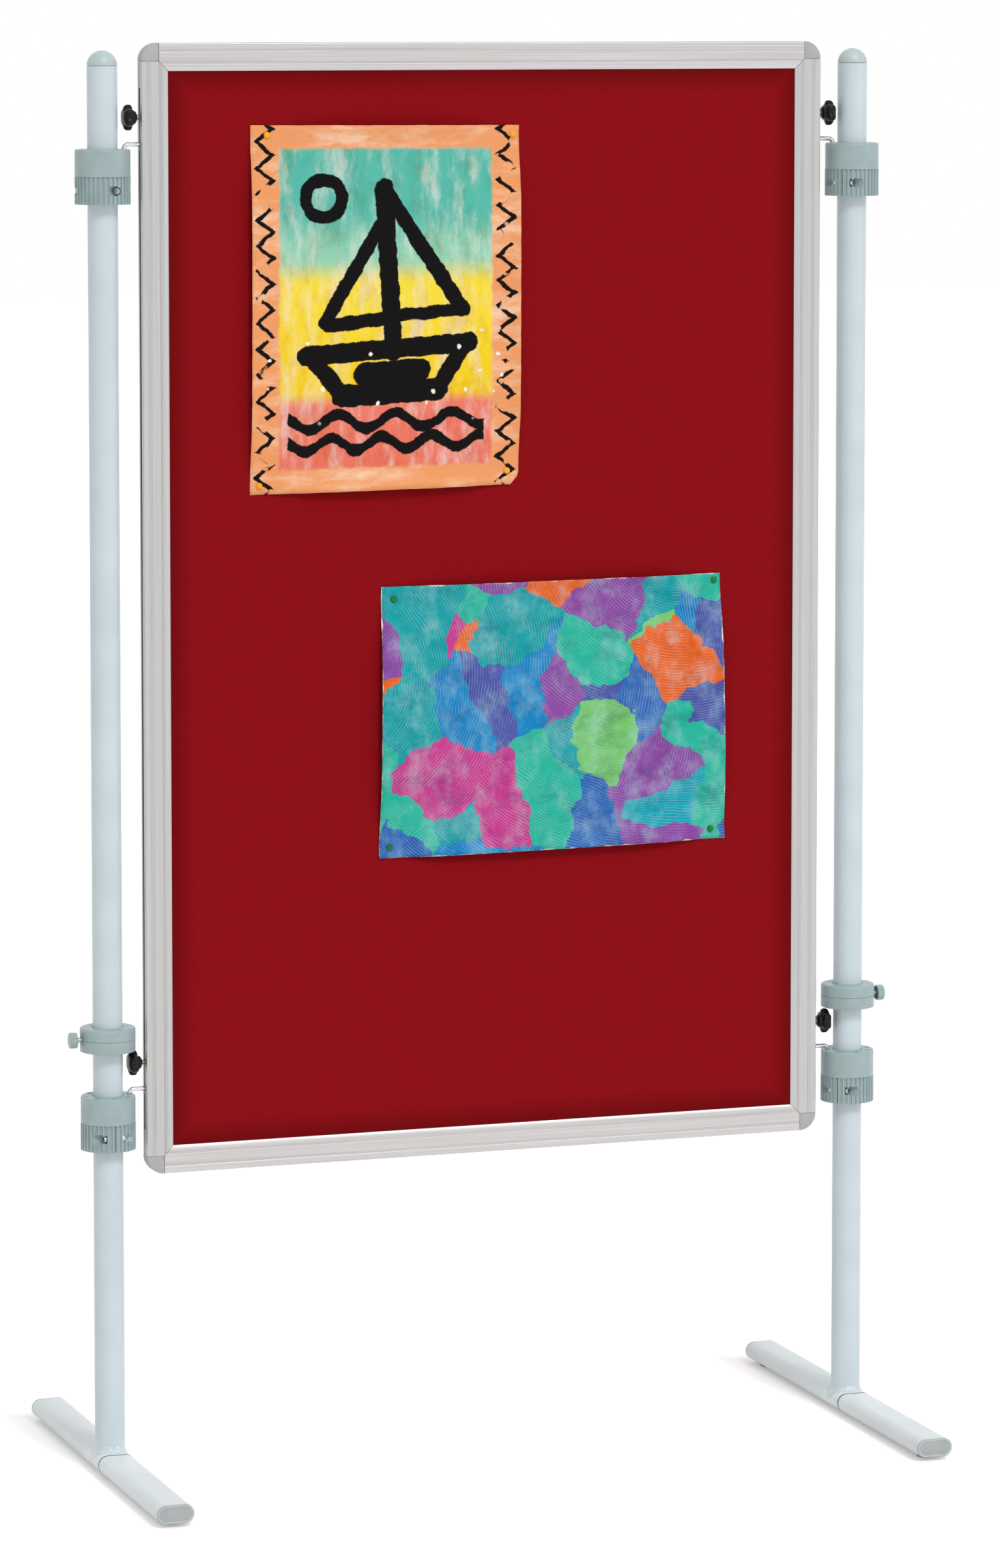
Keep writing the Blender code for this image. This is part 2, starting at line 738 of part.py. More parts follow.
def build_collars(axes, home, bench):
    """The same collar four times, each with the heads of its screws on the post's outer side."""
    body, jaw, screw = collar_mesh(bench), collar_jaw_mesh(bench), clamp_screw_mesh(bench)
    hole_step = 2 * math.pi / HOOK_HOLE_COUNT
    for corner, steps in COLLAR_TURNS.items():
        level, side = corner.split("_")
        foot = COLLAR_TOPS[level] - COLLAR_HEIGHT
        collar_axis = axis_empty(f"{corner}_collar_axis", home, (0.0, 0.0, foot))
        collar_axis.parent = axes[side]
        collar_axis.rotation_euler = (0.0, 0.0, FACINGS[side] + steps * hole_step)
        place_piece(f"{corner}_collar", body, "sage_plastic", home, parent=collar_axis)
        place_piece(f"{corner}_collar_jaw", jaw, "sage_plastic", home, parent=collar_axis)
        for letter, (y, z) in zip("ab", screw_places()):
            name = f"{corner}_clamp_screw_{letter}"
            place_piece(name, screw, "zinc_plated_steel", home, (0.0, y, z), parent=collar_axis)


# The stop rings


def stud_channel():
    """Along -X in the seam, from outside the ring through to the post."""
    radius = THUMB_STUD_DIAMETER / 2 + FIT
    return rod(radius, (-RING_DIAMETER, 0.0, 0.0), (-POST_RADIUS / 2, 0.0, 0.0))


def dowels(radius, start, end):
    shape = bmesh.new()
    middle = (RING_DIAMETER / 2 + BORE_RADIUS) / 2
    for y in (-middle, middle):
        shape.from_mesh(rod(radius, (0.0, y, start), (0.0, y, end)))
    return mesh_from_bmesh("dowels", shape)


def ring_lower_mesh(home):
    """Its top is just under the seam, at height nought."""
    radius = RING_DIAMETER / 2
    top = -FIT / 2
    bottom = top - RING_SHELL_HEIGHT
    profile = [
        (radius, top),
        (radius, bottom + RING_FOOT_CHAMFER),
        (radius - RING_FOOT_CHAMFER, bottom),
        (BORE_RADIUS, bottom),
        (BORE_RADIUS, top),
    ]
    holes = dowels(DOWEL_DIAMETER / 2 + FIT, -DOWEL_LENGTH - FIT, OVERRUN)
    return cut(turned(profile, home), stud_channel(), holes, home=home)


def ring_upper_mesh(home):
    """Its edge is rounded, and two dowels under it go into the lower shell."""
    radius = RING_DIAMETER / 2
    bottom = FIT / 2
    top = bottom + RING_SHELL_HEIGHT
    round_inset = arc_inset(RING_ROUND)
    profile = [
        (radius - RING_ROUND, top),
        (radius - round_inset, top - round_inset),
        (radius, top - RING_ROUND),
        (radius, bottom),
        (BORE_RADIUS, bottom),
        (BORE_RADIUS, top - RING_BORE_CHAMFER),
        (BORE_RADIUS + RING_BORE_CHAMFER, top),
    ]
    shell = cut(turned(profile, home), stud_channel(), home=home)
    pegs = dowels(DOWEL_DIAMETER / 2, -DOWEL_LENGTH, bottom + DOWEL_LENGTH / 2)
    return joined(shell, pegs, home=home)


def thumbscrew_mesh(home):
    """A knurled thumbscrew, hollow behind, on a stud. Its own Z points outwards from the ring's side."""
    radius = THUMB_DIAMETER / 2
    back = THUMB_STANDOFF
    face = back + THUMB_LENGTH
    depth = THUMB_FLUTE_DEPTH
    edge = THUMB_DOME / 2
    head = lobed_loft(
        [
            (back, radius - depth, depth),
            (back + edge, radius, depth),
            (face - THUMB_DOME, radius, depth),
            (face - edge, radius - edge, depth),
            (face, radius * THUMB_FACE_SHARE, 0.0),
        ],
        THUMB_FLUTES,
        THUMB_STEPS_PER_FLUTE,
    )
    hub = THUMB_HUB_DIAMETER / 2
    floor = back + THUMB_HOLLOW_DEPTH
    hollow = turned(
        [
            (radius - THUMB_RIM, floor),
            (radius - THUMB_RIM, back - OVERRUN),
            (hub, back - OVERRUN),
            (hub, floor),
        ],
        home,
        steps=SCREW_STEPS,
    )
    tip = -(RING_DIAMETER / 2 - POST_RADIUS - FIT)
    stud = rod(THUMB_STUD_DIAMETER / 2, (0.0, 0.0, tip), (0.0, 0.0, floor))
    return joined(cut(head, hollow, home=home), stud, home=home)


def build_stop_rings(axes, home, bench):
    lower, upper = ring_lower_mesh(bench), ring_upper_mesh(bench)
    thumb = thumbscrew_mesh(bench)
    outward = (0.0, -math.pi / 2, 0.0)
    rim = (-RING_DIAMETER / 2, 0.0, 0.0)
    for side, post in axes.items():
        seam = axis_empty(f"{side}_stop_ring_axis", home, (0.0, 0.0, RING_SEAM))
        seam.parent = post
        seam.rotation_euler = (0.0, 0.0, FACINGS[side])
        place_piece(f"{side}_stop_ring_lower", lower, "sage_plastic", home, parent=seam)
        place_piece(f"{side}_stop_ring_upper", upper, "sage_plastic", home, parent=seam)
        place_piece(f"{side}_thumbscrew", thumb, "sage_plastic", home, rim, outward, seam)


# The hook brackets and star knobs


def hook_curve(home):
    """The bent rod: out of the frame's slot, round a bend and down into a collar's hole."""
    bend = HOOK_BEND
    start = HOOK_TO_FRAME + SLOT_LIP + FIT + STRIP_THICKNESS / 2
    points = [(start, 0.0)]
    for step in range(HOOK_BEND_STEPS + 1):
        turn = math.pi / 2 * step / HOOK_BEND_STEPS
        points.append((bend * (1 - math.sin(turn)), -bend * (1 - math.cos(turn))))
    points.append((0.0, -HOOK_LIFT - HOOK_REACH))
    curve = bpy.data.curves.new("hook", "CURVE")
    curve.dimensions = "3D"
    curve.bevel_depth = HOOK_DIAMETER / 2
    curve.bevel_resolution = 2
    curve.use_fill_caps = True
    spline = curve.splines.new("POLY")
    spline.points.add(len(points) - 1)
    for point, (x, z) in zip(spline.points, points):
        point.co = (x, 0.0, z, 1.0)
    obj = bpy.data.objects.new("hook", curve)
    home.objects.link(obj)
    return welded(evaluated_mesh(obj))


def bracket_mesh(home):
    """Its origin is on the hook's leg, and the board is on its +X side."""
    outer = HOOK_TO_FRAME + SLOT_LIP + FIT
    low, high = -STRIP_BELOW_HOOK, KNOB_RISE + STRIP_ABOVE_KNOB
    size = (STRIP_THICKNESS, SLOT_WIDTH - 2 * FIT, high - low)
    strip = box(size, (outer + STRIP_THICKNESS / 2, 0.0, (high + low) / 2))
    inner = outer + STRIP_THICKNESS
    radius = KNOB_STUD_DIAMETER / 2 + FIT
    hole = rod(radius, (outer - OVERRUN, 0.0, KNOB_RISE), (inner + OVERRUN, 0.0, KNOB_RISE))
    return joined(cut(strip, hole, home=home), hook_curve(home), home=home)


def star_knob_mesh(home):
    """Its own Z points outwards from the frame's side, where its origin is."""
    radius = KNOB_DIAMETER / 2
    rings = []
    for along, across, hollow in KNOB_SHARES:
        rings.append((KNOB_STANDOFF + along * KNOB_LENGTH, across * radius, hollow * KNOB_HOLLOW))
    grip = lobed_loft(rings, KNOB_LOBES, KNOB_STEPS_PER_LOBE)
    root = KNOB_STANDOFF + KNOB_LENGTH / 2
    stud = rod(KNOB_STUD_DIAMETER / 2, (0.0, 0.0, FIT - SLOT_DEPTH), (0.0, 0.0, root))
    return joined(grip, stud, home=home)


def build_hooks(home, bench):
    bracket, knob = bracket_mesh(bench), star_knob_mesh(bench)
    outward = (0.0, -math.pi / 2, 0.0)
    seat = (HOOK_TO_FRAME, 0.0, KNOB_RISE)
    for side, sign in SIDES.items():
        hinge_x = sign * (POST_X - HOOK_RADIUS)
        for level, collar_top in COLLAR_TOPS.items():
            corner = f"{level}_{side}"
            hook_axis = axis_empty(f"{corner}_hook_axis", home, (hinge_x, 0.0, collar_top + HOOK_LIFT))
            hook_axis.rotation_euler = (0.0, 0.0, FACINGS[side])
            place_piece(f"{corner}_hook_bracket", bracket, "chromed_steel", home, parent=hook_axis)
            place_piece(f"{corner}_star_knob", knob, "black_plastic", home, seat, outward, hook_axis)


# The board


def mirrored_outline(half):
    """Adds the other half of an outline that is symmetric about its X axis."""
    return half + [(x, -y) for x, y in reversed(half)]


def rail_outline():
    """The rail's section: X runs inwards from the outer side, Y from the middle plane to the front."""
    face = FRAME_DEPTH / 2
    floor = face - FLUTE_DEPTH
    round_inset = arc_inset(EDGE_ROUND)
    wall = FLUTE_WALL_SHARE * FRAME_FACE
    half = [
        (SLOT_DEPTH, SLOT_WIDTH / 2),
        (SLOT_LIP, SLOT_WIDTH / 2),
        (SLOT_LIP, SLOT_OPENING / 2),
        (0.0, SLOT_OPENING / 2),
        (0.0, face - EDGE_ROUND),
        (round_inset, face - round_inset),
        (EDGE_ROUND, face),
    ]
    for first, last in FLUTE_SHARES:
        start, end = first * FRAME_FACE, last * FRAME_FACE
        half += [(start, face), (start + wall, floor), (end - wall, floor), (end, face)]
    half += [
        (BEVEL_SHARE * FRAME_FACE, face),
        (FRAME_FACE, POCKET_HALF + LIP_EDGE),
        (FRAME_FACE, POCKET_HALF),
        (FRAME_FACE - POCKET_DEPTH, POCKET_HALF),
    ]
    return mirrored_outline(half)


def chamber_outline():
    """The hollow inside the extrusion, between the slot and the panel's pocket."""
    near = SLOT_DEPTH + FRAME_WALL
    far = FRAME_FACE - POCKET_DEPTH - FRAME_WALL
    half_height = FRAME_DEPTH / 2 - FRAME_WALL
    return [(near, -half_height), (far, -half_height), (far, half_height), (near, half_height)]


def rail_mesh(length, home):
    """A rail along Z. Its ends are square where the corner caps go, and mitred from there to the felt."""
    rail = prism([rail_outline(), chamber_outline()], length, home)
    for end in (-1, 1):
        rail = sliced(rail, (0.0, 0.0, end * (length / 2 - CORNER_SIDE - FIT)), (0.0, 0.0, end))
        rail = sliced(rail, (0.0, 0.0, end * (length / 2 - FIT)), (1.0, 0.0, end))
    return rail


def quarter_outline():
    """The corner cap from the front: a quarter circle about the cap's inner corner."""
    side = CORNER_SIDE
    outline = [(side, side)]
    for step in range(CORNER_ARC_STEPS + 1):
        turn = math.pi / 2 * step / CORNER_ARC_STEPS
        outline.append((side - side * math.sin(turn), side - side * math.cos(turn)))
    return outline


def slot_leg_outline():
    """The rail's slot, less the fit: X runs inwards from the outer side."""
    half = [
        (FIT, SLOT_OPENING / 2 - FIT),
        (SLOT_LIP + FIT, SLOT_OPENING / 2 - FIT),
        (SLOT_LIP + FIT, SLOT_WIDTH / 2 - FIT),
        (SLOT_DEPTH - FIT, SLOT_WIDTH / 2 - FIT),
    ]
    return mirrored_outline(half)


def corner_mesh(home):
    """The cap with its two legs. X and Z run inwards from the board's outer corner.

    Swapping X and Z mirrors the leg, so its faces are turned out again.
    """
    cap = prism([quarter_outline()], FRAME_DEPTH, home)
    cap = bevelled(cap, CORNER_BEVEL, BEVEL_ANGLE, home)
    cap = moved(cap, Matrix.Rotation(math.pi / 2, 4, "X"))
    root = CORNER_SIDE - CORNER_LEG_ROOT
    leg = prism([slot_leg_outline()], CORNER_SIDE + CORNER_LEG - root, home)
    leg = shifted(leg, z=(CORNER_SIDE + CORNER_LEG + root) / 2)
    swap = Matrix(((0, 0, 1, 0), (0, 1, 0, 0), (1, 0, 0, 0), (0, 0, 0, 1)))
    other = moved_copy(leg, swap)
    other.flip_normals()
    return joined(cap, leg, other, home=home)


def build_frame(home, bench):
    middle = BOARD_BOTTOM + BOARD_HEIGHT / 2
    half_width, half_height = BOARD_WIDTH / 2, BOARD_HEIGHT / 2
    side_rail, cross_rail = rail_mesh(BOARD_HEIGHT, bench), rail_mesh(BOARD_WIDTH, bench)
    rails = {
        "left": (side_rail, (-half_width, 0.0, middle), (0.0, 0.0, 0.0)),
        "right": (side_rail, (half_width, 0.0, middle), (0.0, 0.0, math.pi)),
        "top": (cross_rail, (0.0, 0.0, middle + half_height), (0.0, math.pi / 2, 0.0)),
        "bottom": (cross_rail, (0.0, 0.0, middle - half_height), (0.0, -math.pi / 2, 0.0)),
    }
    for name, (mesh, place, turn) in rails.items():
        place_piece(f"frame_rail_{name}", mesh, "anodised_aluminium", home, place, turn)
    corner = corner_mesh(bench)
    turns = {"bottom_left": 0, "top_left": 1, "top_right": 2, "bottom_right": 3}
    for name, quarter in turns.items():
        across = half_width if "right" in name else -half_width
        level = half_height if "top" in name else -half_height
        place = (across, 0.0, middle + level)
        turn = (0.0, quarter * math.pi / 2, 0.0)
        place_piece(f"corner_cap_{name}", corner, "grey_plastic", home, place, turn)


def build_panel(home):
    """The core and the felt on both its faces, held in the rails' pockets."""
    margin = FRAME_FACE - POCKET_DEPTH + FIT
    width, height = BOARD_WIDTH - 2 * margin, BOARD_HEIGHT - 2 * margin
    middle = BOARD_BOTTOM + BOARD_HEIGHT / 2
    core = box((width, CORE_THICKNESS, height), (0.0, 0.0, 0.0))
    place_piece("board_core", core, "fibreboard", home, (0.0, 0.0, middle))
    for name, side in (("felt_front", -1), ("felt_back", 1)):
        felt = box((width, FELT_THICKNESS, height), (0.0, 0.0, 0.0))
        y = side * (FELT_FACE - FELT_THICKNESS / 2)
        place_piece(name, felt, "red_felt", home, (0.0, y, middle))


# The pinned sheets


def sheet_mesh(width, height, home):
    """A sheet of paper that its pins hold flat at the corners, and that lifts a little between them."""
    shape = bmesh.new()
    bmesh.ops.create_grid(shape, x_segments=SHEET_CELLS, y_segments=SHEET_CELLS, size=1.0)
    for vert in shape.verts:
        across, up = vert.co.x / 2, vert.co.y / 2
        lift = SHEET_LIFT * math.cos(math.pi * across) * math.cos(math.pi * up) ** 2
        vert.co = (across * width, -FIT - lift, up * height)
    bmesh.ops.recalc_face_normals(shape, faces=shape.faces)
    mesh = mesh_from_bmesh("sheet", shape)
    obj = work_object(mesh, home)
    wall = obj.modifiers.new("paper", "SOLIDIFY")
    wall.thickness = SHEET_THICKNESS
    wall.offset = 1.0 if mesh.polygons[0].normal.y < 0 else -1.0
    return evaluated_mesh(obj)


def pin_head(x, z, home):
    """A round pin head. It starts inside the paper, so that the two are one solid."""
    radius = PIN_DIAMETER / 2
    profile = [(across * radius, up * PIN_HEIGHT) for across, up in PIN_SHARES]
    head = turned(profile, home, steps=PIN_STEPS, closed=False)
    head = moved(head, Matrix.Rotation(math.pi / 2, 4, "X"))
    return shifted(head, x, -FIT - SHEET_THICKNESS / 2, z)


def pinned_sheet_mesh(width, height, home):
    sheet = sheet_mesh(width, height, home)
    for across in (-1, 1):
        for up in (-1, 1):
            x = across * (width / 2 - PIN_INSET)
            z = up * (height / 2 - PIN_INSET)
            sheet = joined(sheet, pin_head(x, z, home), home=home)
    return sheet


def build_sheets(home, bench):
    middle = BOARD_BOTTOM + BOARD_HEIGHT / 2
    sheets = {
        "pinned_sheet_upper": (UPPER_SHEET_SIZE, UPPER_SHEET_SHARES, "warm_paper"),
        "pinned_sheet_lower": (LOWER_SHEET_SIZE, LOWER_SHEET_SHARES, "cool_paper"),
    }
    for name, (size, (across, up), paper) in sheets.items():
        place = (across * BOARD_WIDTH, -FELT_FACE, middle + up * BOARD_HEIGHT)
        place_piece(name, pinned_sheet_mesh(*size, bench), paper, home, place)


def main():
    clear_scene()
    home = scene_collection("mobile_pinboard")
    bench = scene_collection("cutters")
    axes = {side: build_stand(side, home, bench) for side in SIDES}
    build_collars(axes, home, bench)
    build_stop_rings(axes, home, bench)
    build_hooks(home, bench)
    build_frame(home, bench)
    build_panel(home)
    build_sheets(home, bench)


main()
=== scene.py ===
# %% [markdown]
# # A mobile pinboard
#
# The object is a felt board in a slotted aluminium frame. Four bent hooks hang it from ribbed clamp
# collars on two round posts, and each post is welded to a long flat oval foot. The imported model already
# holds every joint and every place. This lesson dresses it: each pair of cells explains and then makes one
# kind of piece or one finish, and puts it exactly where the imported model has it.

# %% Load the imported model
import math

import bmesh
import bpy
from mathutils import Matrix, Vector, noise


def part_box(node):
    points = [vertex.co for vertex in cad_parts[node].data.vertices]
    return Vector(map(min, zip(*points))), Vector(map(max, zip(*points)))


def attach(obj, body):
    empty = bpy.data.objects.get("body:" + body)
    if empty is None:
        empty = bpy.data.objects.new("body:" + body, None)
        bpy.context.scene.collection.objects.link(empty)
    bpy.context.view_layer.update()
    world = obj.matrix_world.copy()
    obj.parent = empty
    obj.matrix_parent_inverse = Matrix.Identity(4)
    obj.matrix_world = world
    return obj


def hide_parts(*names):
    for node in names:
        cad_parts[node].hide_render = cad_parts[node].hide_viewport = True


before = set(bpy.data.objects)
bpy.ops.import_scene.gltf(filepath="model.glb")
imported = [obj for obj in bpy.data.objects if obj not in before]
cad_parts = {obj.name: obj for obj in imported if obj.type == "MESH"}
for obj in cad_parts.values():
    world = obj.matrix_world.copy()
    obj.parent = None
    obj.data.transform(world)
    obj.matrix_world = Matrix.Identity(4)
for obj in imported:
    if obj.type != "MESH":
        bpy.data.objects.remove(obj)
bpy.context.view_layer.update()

# %% [markdown]
# ## From a drawn shape to a piece
#
# Every piece below is drawn in a bmesh, which is Blender's mesh on the workbench. It could be drawn where it
# stands, but most pieces come in twos and fours. So each is drawn once about its own axis, copied, moved
# into place, and only then turned into an object. The object itself stays at the origin.

# %% Bench helpers
MERGE = 0.00001
SIDES = {"left": -1, "right": 1}
FACINGS = {"left": 0.0, "right": math.pi}


def placed(shape, *moves):
    """A copy of a drawn shape, moved by each matrix in turn."""
    copy = shape.copy()
    for move in moves:
        bmesh.ops.transform(copy, matrix=move, verts=copy.verts)
    return copy


def shift(x=0.0, y=0.0, z=0.0):
    return Matrix.Translation((x, y, z))


def turn(angle, axis):
    return Matrix.Rotation(angle, 4, axis)


def make_piece(shape, name, body, material, replaces=(), smooth_below=35):
    """Turns a drawn shape into an object that rides on a body and stands for the named nodes."""
    bmesh.ops.remove_doubles(shape, verts=shape.verts, dist=MERGE)
    bmesh.ops.recalc_face_normals(shape, faces=shape.faces)
    mesh = bpy.data.meshes.new(name)
    shape.to_mesh(mesh)
    shape.free()
    mesh.shade_smooth()
    mesh.set_sharp_from_angle(angle=math.radians(smooth_below))
    mesh.materials.append(material)
    piece = bpy.data.objects.new(name, mesh)
    bpy.context.scene.collection.objects.link(piece)
    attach(piece, body)
    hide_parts(*replaces)
    return piece


def node_middle(node):
    low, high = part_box(node)
    return (low + high) / 2


POSTS = {side: node_middle(f"{side}_post") for side in SIDES}
print("post axes at x:", {side: round(place.x, 4) for side, place in POSTS.items()})

# %% [markdown]
# ## Shapes that are turned, drawn out or lofted
#
# Tubes, caps and rings are round, so a profile of a few points is spun about Z. Bars are an outline that
# is extruded. Knobs change their outline as they rise, so rings of edges are bridged one to the next. A
# sharp edge catches no light, and no moulded or sawn edge is really sharp, so one more helper bevels the
# edges that turn by more than a chosen angle. Others draw faces and edges out, slice by a plane, round off
# a profile and make six-sided rods.

# %% Turning, bevelling and joining
ROUND_STEPS = 72
FINE_STEPS = 96
ROD_STEPS = 24


def turned(profile, steps=ROUND_STEPS):
    """Spins a profile of (radius, height) about Z. A closed profile ends on its first point."""
    shape = bmesh.new()
    points = [shape.verts.new((radius, 0.0, height)) for radius, height in profile]
    lines = [shape.edges.new(pair) for pair in zip(points, points[1:])]
    bmesh.ops.spin(
        shape,
        geom=points + lines,
        cent=(0.0, 0.0, 0.0),
        axis=(0.0, 0.0, 1.0),
        angle=2 * math.pi,
        steps=steps,
        use_merge=True,
    )
    bmesh.ops.remove_doubles(shape, verts=shape.verts, dist=MERGE)
    bmesh.ops.recalc_face_normals(shape, faces=shape.faces)
    return shape


def bevel_sharp(shape, width, segments=3, sharper_than=50):
    """Bevels the edges that turn by more than an angle."""
    limit = math.radians(sharper_than)
    edges = [edge for edge in shape.edges if edge.is_manifold and edge.calc_face_angle() > limit]
    bmesh.ops.bevel(
        shape,
        geom=edges,
        offset=width,
        offset_type="OFFSET",
        affect="EDGES",
        segments=segments,
        profile=0.5,
        clamp_overlap=True,
        material=-1,
    )
    return shape


def rod(radius, length, steps=32):
    """A plain rod that stands on Z = 0."""
    shape = bmesh.new()
    bmesh.ops.create_cone(
        shape,
        cap_ends=True,
        segments=steps,
        radius1=radius,
        radius2=radius,
        depth=length,
        matrix=shift(z=length / 2),
    )
    return shape


def block(size, middle):
    shape = bmesh.new()
    place = Matrix.Translation(middle) @ Matrix.Diagonal((*size, 1.0))
    bmesh.ops.create_cube(shape, size=1.0, matrix=place)
    return shape


def gathered(*shapes):
    """Several drawn shapes in one, such as all the drills for one cut."""
    whole = bmesh.new()
    for shape in shapes:
        mesh = bpy.data.meshes.new("gathered")
        shape.to_mesh(mesh)
        shape.free()
        whole.from_mesh(mesh)
        bpy.data.meshes.remove(mesh)
    return whole


def bench_object(shape, name):
    mesh = bpy.data.meshes.new(name)
    shape.to_mesh(mesh)
    shape.free()
    obj = bpy.data.objects.new(name, mesh)
    bpy.context.scene.collection.objects.link(obj)
    return obj


def combined(base, tool, operation):
    """One closed shape cut by, or joined with, another."""
    base_object, tool_object = bench_object(base, "base"), bench_object(tool, "tool")
    step = base_object.modifiers.new("combine", "BOOLEAN")
    step.operation = operation
    step.solver = "EXACT"
    step.object = tool_object
    bpy.context.view_layer.update()
    ready = base_object.evaluated_get(bpy.context.evaluated_depsgraph_get())
    shape = bmesh.new()
    shape.from_mesh(ready.to_mesh())
    ready.to_mesh_clear()
    for obj in (base_object, tool_object):
        mesh = obj.data
        bpy.data.objects.remove(obj)
        bpy.data.meshes.remove(mesh)
    return shape


def ring_edges(verts):
    return list({edge for vert in verts for edge in vert.link_edges})


def edges_round(shape, steps, radius, place):
    """One ring of edges, as the start of a loft."""
    verts = bmesh.ops.create_circle(shape, segments=steps, radius=radius, matrix=place)["verts"]
    return verts, ring_edges(verts)


def cap_ring(shape, edges):
    bmesh.ops.edgeloop_fill(shape, edges=edges)


def moved_points(shape, drawn, way):
    """Moves the points that an extrusion made, and gives them back."""
    points = [item for item in drawn["geom"] if isinstance(item, bmesh.types.BMVert)]
    bmesh.ops.translate(shape, vec=way, verts=points)
    return points


def faces_out(shape, way):
    """Extrudes every face of a flat shape."""
    drawn = bmesh.ops.extrude_face_region(shape, geom=shape.faces[:], use_keep_orig=True)
    return moved_points(shape, drawn, way)


def edges_out(shape, edges, way):
    """Extrudes a ring of edges into a wall."""
    return moved_points(shape, bmesh.ops.extrude_edge_only(shape, edges=edges), way)


def sliced(shape, point, normal):
    """Cuts off what lies on the normal's side of a plane, and gives the edges of the cut."""
    whole = shape.verts[:] + shape.edges[:] + shape.faces[:]
    found = bmesh.ops.bisect_plane(
        shape, geom=whole, dist=MERGE, plane_co=point, plane_no=normal, clear_outer=True
    )
    return [item for item in found["geom_cut"] if isinstance(item, bmesh.types.BMEdge)]


def rounded_edge(radius, height, rounding, steps):
    """Profile points of a quarter circle, from the top of a turned part to its side."""
    arc = []
    for step in range(steps + 1):
        angle = math.pi / 2 * step / steps
        arc.append((radius - rounding * (1 - math.sin(angle)), height - rounding * (1 - math.cos(angle))))
    return arc


def six_sided(half_flats, length):
    """A six-sided rod, by half of its width across the flats."""
    return rod(half_flats / math.cos(math.pi / 6), length, steps=6)


print("bench ready, a full turn has", ROUND_STEPS, "steps")

# %% [markdown]
# ## Colours and nodes
#
# A colour picked from a picture is an sRGB hex value, but shaders work in linear light. One function turns
# the one into the other. Materials are built from many nodes, and adding one takes several lines each time,
# so one more function adds a node with its settings, values and links together.

# %% Material helpers
def linear(code, alpha=1.0):
    """An sRGB hex colour such as 9fb3b4 as linear light."""
    channels = [int(code[at : at + 2], 16) / 255 for at in (0, 2, 4)]
    return (*(c / 12.92 if c <= 0.04045 else ((c + 0.055) / 1.055) ** 2.4 for c in channels), alpha)


def add_node(material, kind, settings=None, values=None, links=None):
    """Adds a node. values go on its inputs, and links join its inputs to other nodes' outputs."""
    node = material.node_tree.nodes.new("ShaderNode" + kind)
    for name, value in (settings or {}).items():
        setattr(node, name, value)
    for name, value in (values or {}).items():
        node.inputs[name].default_value = value
    for name, output in (links or {}).items():
        material.node_tree.links.new(output, node.inputs[name])
    return node


def new_material(name, **values):
    """A Principled material. Values that are the same all over go straight on its sockets."""
    material = bpy.data.materials.new(name)
    material.use_nodes = True
    shader = material.node_tree.nodes["Principled BSDF"]
    for socket, value in values.items():
        shader.inputs[socket.replace("_", " ")].default_value = value
    return material, shader


def join_nodes(material, output, target):
    material.node_tree.links.new(output, target)


def sums(material, operation, first, second=None, third=None):
    """One Math node. Each term is a number or another node's output."""
    node = add_node(material, "Math", settings={"operation": operation})
    for index, term in enumerate((first, second, third)):
        if isinstance(term, (int, float)):
            node.inputs[index].default_value = term
        elif term is not None:
            join_nodes(material, term, node.inputs[index])
    return node.outputs["Value"]


def vector_sums(material, operation, *terms, result="Vector"):
    """One VectorMath node. Each term is a fixed vector or another node's output."""
    node = add_node(material, "VectorMath", settings={"operation": operation})
    for socket, term in zip(node.inputs, terms):
        if isinstance(term, bpy.types.NodeSocket):
            join_nodes(material, term, socket)
        else:
            socket.default_value = term
    return node.outputs[result]


def grained_colour(material, shader, coordinates, dark, light, grain, softness=2.0):
    """Colour that drifts between two tones, with patches about as large as grain, in metres."""
    values = {"Scale": 1 / grain, "Detail": softness}
    drift = add_node(material, "TexNoise", values=values, links={"Vector": coordinates})
    tones = add_node(material, "ValToRGB", links={"Fac": drift.outputs["Fac"]})
    tones.color_ramp.elements[0].position = 0.3
    tones.color_ramp.elements[0].color = linear(dark)
    tones.color_ramp.elements[1].position = 0.7
    tones.color_ramp.elements[1].color = linear(light)
    join_nodes(material, tones.outputs["Color"], shader.inputs["Base Color"])
    return tones


def grained_surface(material, shader, coordinates, grain, height, rough, detail=3.0):
    """Bumps about as wide as grain and as high as height, in metres, with the polish varying over them."""
    values = {"Scale": 1 / grain, "Detail": detail, "Roughness": 0.6}
    bumps = add_node(material, "TexNoise", values=values, links={"Vector": coordinates})
    values = {"Strength": 1.0, "Distance": height}
    relief = add_node(material, "Bump", values=values, links={"Height": bumps.outputs["Fac"]})
    join_nodes(material, relief.outputs["Normal"], shader.inputs["Normal"])
    values = {"To Min": rough[0], "To Max": rough[1]}
    polish = add_node(material, "MapRange", values=values, links={"Value": bumps.outputs["Fac"]})
    join_nodes(material, polish.outputs["Result"], shader.inputs["Roughness"])


def object_coordinates(material):
    return add_node(material, "TexCoord").outputs["Object"]


print("sage in linear light:", [round(c, 3) for c in linear("9fb3b4")])

# %% [markdown]
# ## Powder coat
#
# The posts and feet are steel tube. Dry paint powder is blown on and baked, so the coat is satin and has a
# faint orange peel, bumps a millimetre or two wide and only hundredths high. A flat colour would look like
# card. So the tone drifts a little over some centimetres, and the peel breaks up the highlights.

# %% Powder-coated steel, in the posts' blue-grey and the feet's paler tone
def powder_coat(name, dark, light):
    material, shader = new_material(name, Coat_Weight=0.12, Coat_Roughness=0.25)
    place = object_coordinates(material)
    grained_colour(material, shader, place, dark, light, grain=0.06)
    grained_surface(material, shader, place, grain=0.0018, height=0.00005, rough=(0.34, 0.46))
    return material


